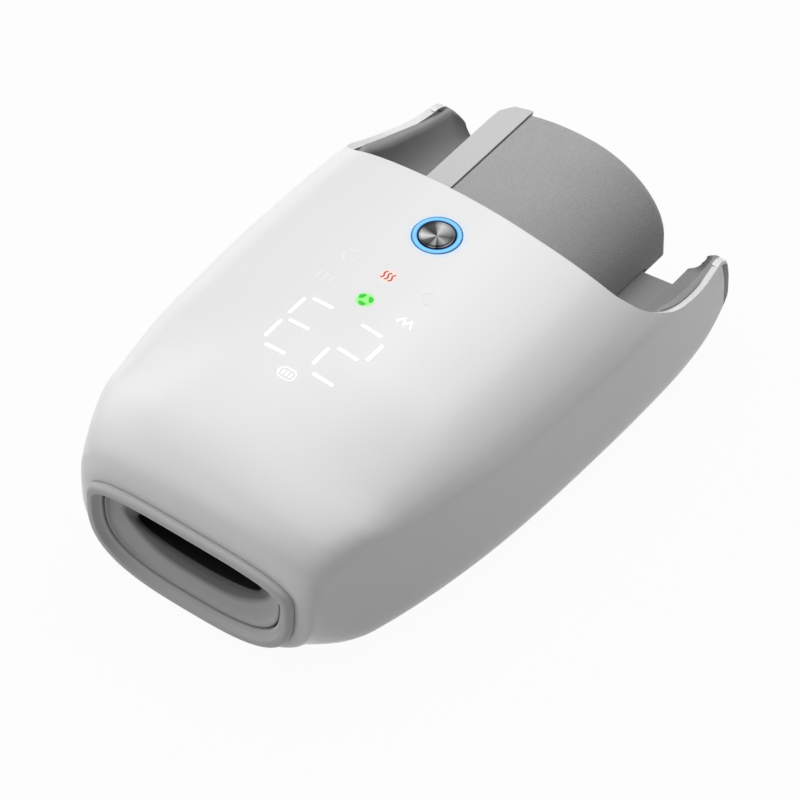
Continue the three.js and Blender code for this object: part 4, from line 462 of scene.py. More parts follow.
def quarter(across, up, power, steps=40):
    """Points (x, z) of a quarter superellipse from (across, 0) to (0, up)."""
    middle = 0.5 ** (1 / power)
    points = []
    for i in range(steps + 1):
        t = i / steps
        if t < 0.5:
            z = middle * t / 0.5
            x = rounded(z, power)
        else:
            x = middle * (1 - t) / 0.5
            z = rounded(x, power)
        points.append((across * x, up * z))
    return points


def even(points, count):
    """The same line with count evenly spaced points."""
    marks = [0.0]
    for a, b in zip(points, points[1:]):
        marks.append(marks[-1] + math.dist(a, b))
    spaced, i = [], 0
    for k in range(count):
        want = marks[-1] * k / (count - 1)
        while i < len(points) - 2 and marks[i + 1] < want:
            i += 1
        span = marks[i + 1] - marks[i]
        t = 0 if span == 0 else (want - marks[i]) / span
        spaced.append(tuple(p + (q - p) * t for p, q in zip(points[i], points[i + 1])))
    return spaced


# %% [markdown]
# ## The body's form
#
# These sizes describe the whole outer body in millimetres: where its nose starts, how wide and
# high it is at each place, and how its underside sweeps up at the back. The top line climbs
# steeply behind the nose and then levels out, which gives the long bulge of the real cover.

# %% Sizes and lines of the body
NOSE_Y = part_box("front_bezel")[0][1] / MM
BODY_FRONT = NOSE_Y + 3.2
HORN_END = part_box("base_shell")[1][1] / MM
BODY_LENGTH = HORN_END - NOSE_Y
HALF_WIDTH = 67.95
BODY_TOP = 75.0
BODY_BOTTOM = 1.2
NOSE_HALF = 43.35
NOSE_TOP = 43.8
NOSE_BOTTOM = 4.4
NOSE_SHOULDER = 32.4
NOSE_STEP = 4.8
NOSE_ROUNDING = 3
NOSE_CROWN_POWER = 3.43
NOSE_KEEL_POWER = 3
BODY_CROWN_POWER = 2
BODY_KEEL_POWER = 9.5
NOSE_BLEND = 28
WIDEST = NOSE_Y + BODY_LENGTH * 0.65
REAR_DRAW = 5.5
REAR_ROUNDING = 3.3
CLIMB_RUN = 75
CLIMB_POWER = 2.24
REAR_FALL = 4
SWEEP_RUN = 36
SWEEP_RISE = 24.5
CROWN_HEIGHT = 31
RIM_TOP = HORN_END - 63
CREASE = HORN_END - 5.5
SEAM_RISE = 3.0
SHELL_WALL = 2.4
CROWN = [(0, 0.6), (0.1, 0.458), (0.17, 0.66), (0.25, 0.805), (0.4, 0.942), (0.55, 0.978),
         (0.7, 1.038), (0.83, 1.155), (0.93, 1.43), (1, 1.432)]
RIM = [(0, 1), (0.009, 0.94), (0.028, 0.853), (0.05, 0.76), (0.085, 0.622), (0.117, 0.556),
       (0.171, 0.454), (0.293, 0.304), (0.438, 0.164), (0.617, 0.064), (0.827, 0), (1, 0.012)]


def half_width(y):
    front = clamp((WIDEST - y) / (WIDEST - BODY_FRONT))
    rear = clamp((y - WIDEST) / (HORN_END - WIDEST))
    narrowing = HALF_WIDTH - NOSE_HALF - NOSE_STEP
    drawn = narrowing * front ** 2.77 + REAR_DRAW * rear ** 2.1
    nose = NOSE_STEP * round_drop(NOSE_ROUNDING, BODY_FRONT + NOSE_ROUNDING - y) / NOSE_ROUNDING
    return HALF_WIDTH - drawn - nose - round_drop(REAR_ROUNDING, y - HORN_END + REAR_ROUNDING)


def top_line(y):
    rise = 1 - clamp((y - BODY_FRONT) / CLIMB_RUN)
    fall = clamp((y - RIM_TOP) / (HORN_END - RIM_TOP))
    climbed = (1 - rise * rise) ** (1 / CLIMB_POWER)
    return NOSE_TOP + (BODY_TOP - NOSE_TOP) * climbed - REAR_FALL * fall * fall


def bottom_line(y):
    keel = 1 - smooth((y - BODY_FRONT) / NOSE_BLEND)
    sweep = clamp((y - HORN_END + SWEEP_RUN) / SWEEP_RUN)
    swept = SWEEP_RISE * (1 - math.sqrt(1 - sweep * sweep))
    return BODY_BOTTOM + (NOSE_BOTTOM - BODY_BOTTOM) * keel + swept


def shoulder_line(y):
    along = (y - BODY_FRONT) / BODY_LENGTH
    behind = top_line(y) - CROWN_HEIGHT * curve_at(CROWN, along)
    return NOSE_SHOULDER + (behind - NOSE_SHOULDER) * smooth((y - BODY_FRONT) / NOSE_ROUNDING)


def crown_power(y):
    nose_share = 1 - smooth((y - BODY_FRONT) / NOSE_BLEND)
    return BODY_CROWN_POWER + (NOSE_CROWN_POWER - BODY_CROWN_POWER) * nose_share


def keel_power(y):
    body_share = smooth((y - BODY_FRONT) / NOSE_BLEND)
    return NOSE_KEEL_POWER + (BODY_KEEL_POWER - NOSE_KEEL_POWER) * body_share


def half_ring(y):
    """Right half of the body at one place, from under the middle round to the top."""
    half, shoulder = half_width(y), shoulder_line(y)
    keel = [(x, shoulder - z) for x, z in quarter(half, shoulder - bottom_line(y), keel_power(y))]
    crown = [(x, shoulder + z) for x, z in quarter(half, top_line(y) - shoulder, crown_power(y))]
    return keel[::-1] + crown[1:]


def cover_height(x, y):
    """Height of the cover's outer surface over a point of its plan."""
    half, shoulder = half_width(y), shoulder_line(y)
    return shoulder + (top_line(y) - shoulder) * rounded(abs(x / half), crown_power(y))


def split_at(points, height):
    """Parts a half ring into what lies below and above a height on its outer side."""
    for i, (a, b) in enumerate(zip(points, points[1:])):
        if i > 4 and a[1] <= height < b[1]:
            t = (height - a[1]) / (b[1] - a[1])
            cut = (a[0] + (b[0] - a[0]) * t, height)
            return points[:i + 1] + [cut], [cut] + points[i + 1:]
    return points, points[-1:]


print(f"body: {BODY_LENGTH:.1f} mm long, {2 * HALF_WIDTH:.1f} mm wide, {BODY_TOP:.1f} mm high")

# %% [markdown]
# ## A sheet that takes any form
#
# Most pieces here start as one flat grid, whose points are then moved to where a rule puts them.
# `create_grid` makes the faces, the rule gives the form, and `remove_doubles` closes the places
# where two edges of the grid meet. `finish_piece` scales the result to metres, shades it smooth
# and hands it to the body that it moves with.

# %% Helpers that make and finish a piece
def mapped_grid(across, along, rule):
    """A grid of across x along faces; rule(u, v) gives each point from its two shares."""
    bm = bmesh.new()
    bmesh.ops.create_grid(bm, x_segments=across, y_segments=along, size=0.5)
    for vert in bm.verts:
        vert.co = rule(clamp(vert.co.x + 0.5), clamp(vert.co.y + 0.5))
    bmesh.ops.remove_doubles(bm, verts=bm.verts, dist=1e-4)
    return bm


def skinned(rings):
    """A grid through rows of points, one row for each ring."""
    rows, around = len(rings) - 1, len(rings[0]) - 1
    return mapped_grid(around, rows, lambda u, v: rings[round(v * rows)][round(u * around)])


def mesh_of(bm, name, material):
    mesh = bpy.data.meshes.new(name)
    bm.to_mesh(mesh)
    bm.free()
    mesh.materials.append(material)
    return mesh


def finish_piece(bm, name, material, body, stands_for=(), slot=None, sharp=40):
    """Makes the object; a mesh with a slot is in millimetres, the copy of a node in metres."""
    if stands_for or slot:
        bmesh.ops.scale(bm, vec=(MM, MM, MM), verts=bm.verts)
    mesh = mesh_of(bm, name, material)
    piece = add_object(name, mesh)
    mesh.shade_smooth()
    mesh.set_sharp_from_angle(angle=math.radians(sharp))
    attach(piece, body)
    if stands_for:
        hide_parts(*stands_for)
    print(f"{name}: {len(mesh.polygons)} faces")
    return piece


def face_outwards(bm):
    bmesh.ops.recalc_face_normals(bm, faces=bm.faces)


def close_ends(bm):
    bmesh.ops.holes_fill(bm, edges=[edge for edge in bm.edges if edge.is_boundary], sides=0)
    face_outwards(bm)


def give_wall(piece, thickness):
    """Thickens a skin inwards."""
    wall = piece.modifiers.new("wall", "SOLIDIFY")
    wall.thickness = thickness * MM
    wall.offset = -1.0
    wall.use_even_offset = True


def soften_edges(piece, width, segments=3, angle=50):
    bevel = piece.modifiers.new("soft_edges", "BEVEL")
    bevel.width = width * MM
    bevel.segments = segments
    bevel.limit_method = "ANGLE"
    bevel.angle_limit = math.radians(angle)
    bevel.harden_normals = True
    bevel.use_clamp_overlap = True


# %% [markdown]
# ## The white cover
#
# The cover is the biggest and glossiest piece, so it gets its own grid: one direction runs round
# each ring from the right seam over the top to the left seam, the other from the nose to the back
# edge. The back edge isn't straight. It starts on top in the middle, falls along the hand
# opening's rim, and ends on the crease of the horns. Each lengthwise line stops where it meets
# that edge, found by halving the distance again and again. The cover is modelled as its outer skin
# only, and a Solidify modifier adds the 2.4 mm wall behind it.

# %% Rows of the cover
COLUMNS = 80
COVER_ROWS = 170
STATIONS = 260
RIM_LOW = 37.2
RIM_HIGH = BODY_TOP + 0.3
RIM_LOW_Y = HORN_END - 5
TIP_ROUNDING = 7.0


def rim_height(y):
    along = (y - RIM_TOP) / (RIM_LOW_Y - RIM_TOP)
    tip = round_drop(TIP_ROUNDING, y - HORN_END + TIP_ROUNDING)
    return RIM_LOW + (RIM_HIGH - RIM_LOW) * curve_at(RIM, along) - tip


def station_place(share):
    return BODY_FRONT + (CREASE - BODY_FRONT) * share * share * (2 - share)


def cover_stations():
    rows = []
    for i in range(STATIONS + 1):
        y = station_place(i / STATIONS)
        upper = split_at(half_ring(y), bottom_line(y) + SEAM_RISE)[1]
        rows.append((y, even(upper, COLUMNS + 1)))
    return rows


cover_rows = cover_stations()


def cover_point(column, y):
    """Point of one lengthwise line of the cover's right half at a place along it."""
    low, high = 0, len(cover_rows) - 1
    while high - low > 1:
        middle = (low + high) // 2
        if cover_rows[middle][0] <= y:
            low = middle
        else:
            high = middle
    (y0, first), (y1, second) = cover_rows[low], cover_rows[high]
    t = (y - y0) / (y1 - y0)
    (x0, z0), (x1, z1) = first[column], second[column]
    return x0 + (x1 - x0) * t, z0 + (z1 - z0) * t


def line_end(column):
    """Where one lengthwise line meets the rim of the hand opening, or else the crease."""
    if cover_point(column, CREASE)[1] < rim_height(CREASE):
        return CREASE
    low, high = RIM_TOP, CREASE
    for _ in range(40):
        middle = (low + high) / 2
        if cover_point(column, middle)[1] < rim_height(middle):
            low = middle
        else:
            high = middle
    return low


line_ends = [line_end(column) for column in range(COLUMNS + 1)]
corner_column = max(column for column, end in enumerate(line_ends) if end == CREASE)
print(f"cover lines end between y {min(line_ends):.1f} and {max(line_ends):.1f} mm")

# %% [markdown]
# ## The round hole in a square grid
#
# A round hole cut into a grid leaves ragged faces that show in the gloss. So the faces inside a
# small square are deleted instead, and then the grid is warped: near the button each square of
# grid lines is drawn in to a circle, as if the grid were cloth pulled round a cup. The edge of the
# square becomes the round edge of the hole.

# %% Make the cover
HOLE_RADIUS = 8.8
WARP_REACH = 26.0
HOLE_SEARCH = 14
FACE_ZONE = BODY_TOP - 10
POINT_ZONE = BODY_TOP - 15
BUTTON_PLAN = (0.0, BUTTON_Y / MM)


def warp_round_button(x, y):
    dx, dy = x - BUTTON_PLAN[0], y - BUTTON_PLAN[1]
    square = max(abs(dx), abs(dy))
    radius = math.hypot(dx, dy)
    if square >= WARP_REACH or radius < 1e-6:
        return x, y
    pull = 1 - smooth((square - HOLE_RADIUS) / (WARP_REACH - HOLE_RADIUS))
    factor = 1 + (square / radius - 1) * pull
    return BUTTON_PLAN[0] + dx * factor, BUTTON_PLAN[1] + dy * factor


def corner_of_rim():
    """The point where the rim meets the crease, which lies between two lengthwise lines."""
    x0, z0 = cover_point(corner_column, CREASE)
    x1, z1 = cover_point(corner_column + 1, CREASE)
    z = rim_height(CREASE)
    return x0 + (x1 - x0) * (z - z0) / (z1 - z0), z


def cover_rule(u, v):
    across = (u - 0.5) * 2
    column = round(COLUMNS * (1 - abs(across)))
    end = line_ends[column]
    share = v * v * (2 - v)
    y = BODY_FRONT + (end - BODY_FRONT) * share
    x, z = cover_point(column, y)
    if column == corner_column and v == 1:
        x, z = corner_of_rim()
    return Vector((math.copysign(x, across) if across else x, y, z))


def over_button(face):
    """True for a face of the top that lies in the square round the button."""
    middle = face.calc_center_median()
    square = max(abs(middle.x - BUTTON_PLAN[0]), abs(middle.y - BUTTON_PLAN[1]))
    return square < HOLE_RADIUS and middle.z > FACE_ZONE


def cut_button_hole(bm):
    inside = [face for face in bm.faces if over_button(face)]
    near = [v for v in bm.verts if v.co.z > POINT_ZONE and v.co.y < RIM_TOP - 1]
    bmesh.ops.delete(bm, geom=inside, context="FACES")
    for vert in [v for v in near if v.is_valid]:
        x, y = warp_round_button(vert.co.x, vert.co.y)
        away = Vector((x - BUTTON_PLAN[0], y - BUTTON_PLAN[1]))
        if vert.is_boundary and math.hypot(*away) < HOLE_SEARCH:
            away = away.normalized() * HOLE_RADIUS
            x, y = BUTTON_PLAN[0] + away.x, BUTTON_PLAN[1] + away.y
        vert.co = (x, y, cover_height(x, y))


def make_cover():
    bm = mapped_grid(2 * COLUMNS, COVER_ROWS, cover_rule)
    cut_button_hole(bm)
    face_outwards(bm)
    if sum(face.normal.z * face.calc_area() for face in bm.faces) < 0:
        bmesh.ops.reverse_faces(bm, faces=bm.faces)
    cover = finish_piece(bm, "cover", cover_white, "housing", ["top_shell"], "white_gloss", 60)
    give_wall(cover, SHELL_WALL)
    soften_edges(cover, 0.2)


make_cover()

# %% [markdown]
# ## The ring round the fingertip window
#
# The nose ends in an oval ring of light-grey plastic. Its section is a small closed outline: a
# round outer edge, a narrow flat lip, and a slope that leads in to the dish behind it. The same
# grid idea works here, with one direction round the oval and the other round the section, so both
# ends of the grid meet themselves and are merged.

# %% Sections of the ring and the dish
def oval(inset, count):
    """The nose's outline drawn in by an inset, as (x, z) points from the right, closed."""
    half, rise = NOSE_HALF - inset, NOSE_TOP - NOSE_SHOULDER
    crown = [(x, NOSE_SHOULDER + z)
             for x, z in quarter(half, rise * math.exp(-inset / rise), NOSE_CROWN_POWER, 60)]
    keel = [(x, NOSE_SHOULDER - z)
            for x, z in quarter(half, NOSE_SHOULDER - NOSE_BOTTOM - inset, NOSE_KEEL_POWER, 60)]
    left = [(-x, z) for x, z in crown[:-1]][::-1] + [(-x, z) for x, z in keel[1:]]
    return even(crown + left + keel[::-1][1:], count)


AROUND = 160
SLOT_HALF = 26.0
SLOT_BOTTOM = 23.0
SLOT_TOP = 34.5


def ring_of(profile_point):
    inset, y, way = profile_point
    points = oval(inset, AROUND + 1)
    middle = (SLOT_TOP + SLOT_BOTTOM) / 2
    half_height = (SLOT_TOP - SLOT_BOTTOM) / 2
    moved = []
    for x, z in points:
        angle = math.atan2((z - NOSE_SHOULDER) / half_height, x / SLOT_HALF)
        slot_x, slot_z = SLOT_HALF * math.cos(angle), middle + half_height * math.sin(angle)
        moved.append(Vector((x + (slot_x - x) * way, y, z + (slot_z - z) * way)))
    return moved


def swept(profile, steps):
    """Rings along a closed profile of (inset, y, way to the slot), spaced evenly."""
    return skinned([ring_of(point) for point in even(profile + profile[:1], steps + 1)])


def corner(centre, radius, start, stop, steps=5):
    """Arc of a profile: angles in degrees, 0 towards larger inset, 90 towards the front."""
    arc = []
    for i in range(steps + 1):
        angle = math.radians(start + (stop - start) * i / steps)
        arc.append((centre[0] + radius * math.cos(angle), centre[1] - radius * math.sin(angle), 0))
    return arc


# %% [markdown]
# The lip's outer edge is rounded by 2 mm and its inner edge by 0.6 mm. A small rounding at the
# back makes the seam with the cover a soft dark line. Behind it the section returns inside the
# cover as a spigot, which is what holds the ring in place.

# %% Make the ring
def bezel_profile():
    front, back = NOSE_Y, BODY_FRONT
    return ([(4.0, back + 4.4, 0), (3.0, back, 0)]
            + corner((0.2, back - 0.2), 0.2, 270, 180)
            + corner((2.0, front + 2.0), 2.0, 180, 90)
            + corner((2.9, front + 0.6), 0.6, 90, 45)
            + [(3.9, front + 0.9, 0), (4.8, front + 1.9, 0)]
            + corner((5.4, front + 2.7), 0.4, 60, 0)
            + [(5.8, back + 4.4, 0)])


finish_piece(swept(bezel_profile(), 110), "window_ring", ring_grey, "housing", ["front_bezel"],
             "light_grey", 35)

# %% [markdown]
# ## The dish and its slot
# Inside the ring a shallow dish curves back to a dark slot. `way` says how far a ring has gone
# from the oval rim (0) to the slot's outline (1), so the dish is one smooth change of outline.
# The dish's colour carries painted shade: it darkens with depth to nearly black, as the shadow of
# the lip above. The faces of the duct behind the slot get a second material, black, which stands
# in for the shade inside the slot.

# %% Make the dish
DISH_FRONT = NOSE_Y + 2.9
DISH_DEPTH = 4.2
LIP_DEPTH = 4.0
DUCT_DEPTH = 12.6


def dish_profile():
    front, duct_end = DISH_FRONT, DISH_FRONT + DUCT_DEPTH
    dish = [(0, 0), (0.05, 0.24), (0.16, 0.4), (0.34, 0.52), (0.6, 0.64), (0.85, 0.8), (1, 1)]
    inner = [(7.0 * (1 - way) + 6.1 * way, front + DISH_DEPTH * deep, way)
             for way, deep in [(k / 14, curve_at(dish, k / 14)) for k in range(15)]]
    return ([(6.35, front + 0.5, 0), (6.45, front + 0.15, 0), (6.8, front, 0)] + inner
            + [(6.1, duct_end, 1.0), (6.1, duct_end, 0.92), (6.35, front + 5, 0)])


def shaded_dish():
    """Grey at the rim; towards the slot a painted shadow of the lip makes it nearly black."""
    material, tree, shader = paint("dish_with_painted_lip_shadow", Roughness=0.42)
    parts = on_object(tree, "ShaderNodeSeparateXYZ")
    depth = node(tree, "ShaderNodeMapRange", {
        "From Min": DISH_FRONT * MM, "From Max": (DISH_FRONT + DISH_DEPTH) * MM})
    link(tree, parts, "Y", depth, "Value")
    # Painted shade: the grey darkens to nearly black towards the slot, as the shadow of the lip.
    colour = ramp(tree, depth, "Result", [
        (0.0, grey(0.4)), (0.2, grey(0.48)), (0.56, grey(0.44)), (0.66, grey(0.1)),
        (0.85, grey(0.06))])
    fine = noise(tree, 2400, detail=3)
    scaled_colour(tree, shader, colour, spread(tree, fine, "Fac", 0.96, 1.04))
    raise_bumps(tree, shader, fine, "Fac", 0.18, 0.00005)
    return material


def make_dish():
    bm = swept(dish_profile(), 130)
    dish = finish_piece(bm, "fingertip_dish", shaded_dish(), "housing", ["front_funnel"],
                        "light_grey", 50)
    # The black duct stands in for the shade inside the slot.
    dish.data.materials.append(dark_plastic)
    for face in dish.data.polygons:
        if face.center.y > (DISH_FRONT + LIP_DEPTH) * MM:
            face.material_index = 1


make_dish()
print("dish slot:", 2 * SLOT_HALF, "x", SLOT_TOP - SLOT_BOTTOM, "mm")

# %% [markdown]
# ## Light ring and button
#
# Both are turned shapes. A short profile is spun once round the button's axis with `spin`. The
# ring glows: bright blue in its middle and deep blue at both edges, where the clear plastic is
# seen edge-on. The colour follows the distance from the axis.

# %% Spin the light ring
SPIN_STEPS = 96
LIGHT_INNER = 6.5
LIGHT_OUTER = 8.5


def spun(profile):
    bm = bmesh.new()
    verts = [bm.verts.new((radius, 0, height)) for radius, height in profile]
    edges = [bm.edges.new(pair) for pair in zip(verts, verts[1:])]
    bmesh.ops.spin(bm, geom=verts + edges, cent=(0, 0, 0), axis=(0, 0, 1),
                   angle=math.tau, steps=SPIN_STEPS, use_merge=True)
    bmesh.ops.remove_doubles(bm, verts=bm.verts, dist=1e-5)
    bmesh.ops.translate(bm, vec=(0, BUTTON_PLAN[1], 0), verts=bm.verts)
    face_outwards(bm)
    return bm


def glowing_blue():
    material, tree, shader = paint("ring_light", Roughness=0.3, Specular_IOR_Level=0.2)
    away = distance_from(tree, 0, BUTTON_Y)
    across = node(tree, "ShaderNodeMapRange", {
        "From Min": LIGHT_INNER * MM, "From Max": LIGHT_OUTER * MM})
    link(tree, away, "Value", across, "Value")
    colour = ramp(tree, across, "Result", [
        (0.0, (0.0, 0.02, 0.09)), (0.12, (0.0, 0.05, 0.17)), (0.24, (0.16, 0.54, 0.9)),
        (0.5, (0.25, 0.6, 0.95)), (0.84, (0.2, 0.56, 0.92)), (0.94, (0.05, 0.2, 0.42)),
        (1.0, (0.02, 0.12, 0.28))])
    link(tree, colour, "Color", shader, "Emission Color")
    deep = ramp(tree, across, "Result", [(0.0, (0.0, 0.01, 0.03)), (0.5, (0.02, 0.06, 0.12))])
    link(tree, deep, "Color", shader, "Base Color")
    shader.inputs["Emission Strength"].default_value = 1.0
    fine = noise(tree, 900, detail=1)
    raise_bumps(tree, shader, fine, "Fac", 0.03, 0.00003)
    return material


ring_light = glowing_blue()
RING_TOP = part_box("light_ring")[1][2] / MM
RING_PROFILE = [(LIGHT_INNER, RING_TOP - 3.8), (10.0, RING_TOP - 3.8), (10.0, RING_TOP - 3.0),
                (LIGHT_OUTER, RING_TOP - 3.0), (LIGHT_OUTER, RING_TOP - 0.4),
                (8.38, RING_TOP - 0.12), (8.1, RING_TOP), (6.9, RING_TOP),
                (6.62, RING_TOP - 0.12), (LIGHT_INNER, RING_TOP - 0.4),
                (LIGHT_INNER, RING_TOP - 3.8)]
finish_piece(spun(RING_PROFILE), "light_ring_round", ring_light, "housing", ["light_ring"],
             "light_plastic", 35)

# %% [markdown]
# The button's face is turned metal: fine circular grooves reflect a room's lamps in narrow fans,
# like the back of a disc. `PAINTED_FANS` names the direction of each bright or dark fan in
# degrees, and a ramp over the angle round the button paints them into the base colour as a painted
# reflection that stays fixed on the button. An anisotropic reflection along the grooves adds to
# it. It has to know which way they run, so a UV map has U running round the button.

# %% Spin the button and mark the direction of its grooves
PAINTED_FANS = [(-180, 0.15), (-164, 0.5), (-145, 0.95), (-128, 0.7), (-116, 0.2), (-88, 0.12),
        (-75, 0.6), (-63, 0.72), (-53, 0.05), (-45, 0.3), (-20, 0.8), (5, 0.4), (24, 0.15),
        (38, 0.3), (76, 0.6), (105, 0.75), (124, 0.4), (136, 0.1), (169, 0.06), (180, 0.15)]
PAINTED_FAN_LEVEL = 0.5


def angle_round_button(tree):
    """0 to 1 for -180 to 180 degrees round the button's axis."""
    parts = node(tree, "ShaderNodeSeparateXYZ")
    link(tree, centred_plan(tree, 0, BUTTON_Y), "Vector", parts, "Vector")
    angle = node(tree, "ShaderNodeMath", operation="ARCTAN2")
    link(tree, parts, "Y", angle, 0)
    link(tree, parts, "X", angle, 1)
    share = node(tree, "ShaderNodeMapRange", {"From Min": -math.pi, "From Max": math.pi})
    link(tree, angle, "Value", share, "Value")
    return share


def turned_metal():
    material, tree, shader = paint("turned_metal_painted_fans", Metallic=1.0, Anisotropic=0.6,
                                   Roughness=0.4)
    direction = node(tree, "ShaderNodeTangent", direction_type="UV_MAP", uv_map="grooves")
    link(tree, direction, "Tangent", shader, "Tangent")
    # Painted reflection: the ramp paints bright and dark fans into the base colour by the angle
    # round the button.
    painted_fans = ramp(tree, angle_round_button(tree), "Result",
                [(degrees / 360 + 0.5, grey(level * PAINTED_FAN_LEVEL)) for degrees, level in PAINTED_FANS])
    away = distance_from(tree, 0, BUTTON_Y)
    grooves = node(tree, "ShaderNodeTexNoise", {"Scale": 5200.0, "Detail": 2.0},
                   noise_dimensions="1D")
    link(tree, away, "Value", grooves, "W")
    scaled_colour(tree, shader, painted_fans, spread(tree, grooves, "Fac", 0.8, 1.15))
    raise_bumps(tree, shader, grooves, "Fac", 0.12, 0.00004)
    return material


def mark_grooves(bm):
    uv = bm.loops.layers.uv.new("grooves")
    for face in bm.faces:
        middle = face.calc_center_median()
        centre = math.atan2(middle.y - BUTTON_PLAN[1], middle.x)
        for loop in face.loops:
            dx, dy = loop.vert.co.x, loop.vert.co.y - BUTTON_PLAN[1]
            radius = math.hypot(dx, dy)
            angle = centre if radius < 1e-4 else math.atan2(dy, dx)
            angle = centre + (angle - centre + math.pi) % math.tau - math.pi
            loop[uv].uv = (angle / math.tau, radius / 10)


CAP_TOP = BUTTON_TOP / MM
STEM_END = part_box("button_cap")[0][2] / MM
CAP_PROFILE = [(0, STEM_END), (2.0, STEM_END), (2.0, CAP_TOP - 2.6), (6.2, CAP_TOP - 2.6),
               (6.2, CAP_TOP - 0.3), (6.1, CAP_TOP - 0.08), (5.9, CAP_TOP), (5.7, CAP_TOP - 0.06),
               (5.45, CAP_TOP - 0.25), (4.4, CAP_TOP - 0.36), (3.0, CAP_TOP - 0.44),
               (1.5, CAP_TOP - 0.49), (0.5, CAP_TOP - 0.5), (0, CAP_TOP - 0.5)]


cap = spun(CAP_PROFILE)
mark_grooves(cap)
finish_piece(cap, "button_face", turned_metal(), "button", ["button_cap"], "steel", 35)

# %% [markdown]
# ## Lit signs and digits
#
# The display shines through the cover, so each sign is a thin film just above its surface. A sign
# is made of strokes: narrow grids bent along a line. `drop_on_cover` lowers each point to the
# height of the cover below it, so that a sign follows the curve. Signs are drawn as seen by a
# person whose hand enters from the back, so their up is -Y and their right is -X.

# %% Light for the signs
def lit(name, colour, strength):
    material, tree, shader = paint(name, Roughness=0.4)
    tone = mottled(tree, 700, 1, tuple(c * 0.94 for c in colour), colour, 0.2, 0.8)
    link(tree, tone, "Color", shader, "Emission Color")
    link(tree, tone, "Color", shader, "Base Color")
    shader.inputs["Emission Strength"].default_value = strength
    return material


lit_white = lit("lit_white", (1.0, 1.0, 1.0), 0.7)
faint_white = lit("faint_white", (0.86, 0.86, 0.86), 0.02)
lit_red = lit("lit_red", (0.3, 0.02, 0.012), 0.6)
lit_green = lit("lit_green", (0.012, 0.42, 0.008), 0.55)
SIGN_LIFT = 0.06


def drop_on_cover(centre, right, up):
    x, y = centre[0] - right, centre[1] - up
    return Vector((x, y, cover_height(x, y) + SIGN_LIFT))


def stroke(bm, centre, line, width, steps=None):
    """Adds a ribbon along a line of (right, up) points round a centre, with rounded ends."""
    count = steps or max(8, 4 * len(line))
    points = even(line, count + 1)
    start = len(bm.verts)
    bmesh.ops.create_grid(bm, x_segments=count, y_segments=2, size=0.5)
    bm.verts.ensure_lookup_table()
    for vert in bm.verts[start:]:
        i = round((vert.co.x + 0.5) * count)
        a, b = points[max(i - 1, 0)], points[min(i + 1, count)]
        run = math.dist(a, b) or 1.0
        side = ((a[1] - b[1]) / run, (b[0] - a[0]) / run)
        offset = vert.co.y * width
        vert.co = drop_on_cover(centre, points[i][0] + side[0] * offset,
                                points[i][1] + side[1] * offset)


def dot(bm, centre, right, up, radius):
    """A small round spot, which also rounds the joint of two strokes."""
    start = len(bm.verts)
    bmesh.ops.create_circle(bm, cap_ends=True, segments=16, radius=radius)
    bm.verts.ensure_lookup_table()
    for vert in bm.verts[start:]:
        vert.co = drop_on_cover(centre, right + vert.co.x, up + vert.co.y)


def arc(radius, start, stop, steps=16):
    angles = [math.radians(start + (stop - start) * i / steps) for i in range(steps + 1)]
    return [(radius * math.cos(angle), radius * math.sin(angle)) for angle in angles]


def finish_sign(bm, name, material):
    bmesh.ops.remove_doubles(bm, verts=bm.verts, dist=1e-4)
    face_outwards(bm)
    if sum(face.normal.z for face in bm.faces) < 0:
        bmesh.ops.reverse_faces(bm, faces=bm.faces)
    finish_piece(bm, name, material, "housing", slot="light_plastic")


# %% [markdown]
# The two big digits are built from bars, as on any seven-segment display. A bar that lies along X
# is a horizontal segment and one along Y is a vertical segment.

# %% Digits
BAR_WIDTH = 1.05
FLAT_BARS = [(-10.8, -50), (-11.1, -37), (-10.8, -24.6), (9.8, -24.7), (10, -37.7), (10.3, -51.2)]
TALL_BARS = [(-17.3, -42.9), (-17.3, -30.2), (3.6, -43.9), (16.5, -31.5)]


def make_digits():
    bm = bmesh.new()
    for centre in FLAT_BARS:
        stroke(bm, centre, [(-4.1, 0), (4.1, 0)], BAR_WIDTH)
    for centre in TALL_BARS:
        stroke(bm, centre, [(0, -4.2), (0, 4.2)], BAR_WIDTH)
    finish_sign(bm, "digits", lit_white)


make_digits()

# %% [markdown]
# The small signs tell the modes: an interrupted ring, three waves for the air pressure, three red
# waves for the heat, a clock, a fan in green, a zigzag, and a battery with three bars.

# %% Signs
CYCLE_SIGN = (-17.4, -1.3)
AIR_SIGN = (-18.3, -14.1)
CLOCK_SIGN = (15.4, -1.2)
ZIGZAG_SIGN = (16.0, -14.3)
BATTERY_SIGN = (-0.8, -56.3)


def wave(shift, tall, swing):
    return [(shift + swing * math.sin(math.tau * t / 12) + 0.18 * (t - 6) / 6 * tall / 2,
             tall * (t / 12 - 0.5)) for t in range(13)]


def make_faint_signs():
    bm = bmesh.new()
    for start in (-10, 115, 240):
        stroke(bm, CYCLE_SIGN, arc(2.7, start, start + 88), 0.75)
    for shift in (-2.7, 0, 2.7):
        stroke(bm, AIR_SIGN, wave(shift, 3.4, 0.25), 0.8)
    stroke(bm, CLOCK_SIGN, arc(2.6, 0, 360, 32), 0.5)
    stroke(bm, CLOCK_SIGN, [(0, 1.1), (0, 0), (0.8, -0.4)], 0.5)
    finish_sign(bm, "faint_signs", faint_white)


def make_zigzag_sign():
    bm = bmesh.new()
    peaks = [(-2.7, 1.4), (-1.35, -1.4), (0, 1.4), (1.35, -1.4), (2.7, 1.4)]
    for start, end in zip(peaks, peaks[1:]):
        stroke(bm, ZIGZAG_SIGN, [start, end], 0.44)
    for right, up in peaks:
        dot(bm, ZIGZAG_SIGN, right, up, 0.22)
    finish_sign(bm, "zigzag_sign", lit_white)


def rounded_box(half_long, half_wide, radius):
    """A closed line round a box with rounded corners."""
    line = []
    for start, x, z in ((0, 1, 1), (90, -1, 1), (180, -1, -1), (270, 1, -1)):
        line += [(x * (half_long - radius) + dx, z * (half_wide - radius) + dz)
                 for dx, dz in arc(radius, start, start + 90, 6)]
    return line + line[:1]


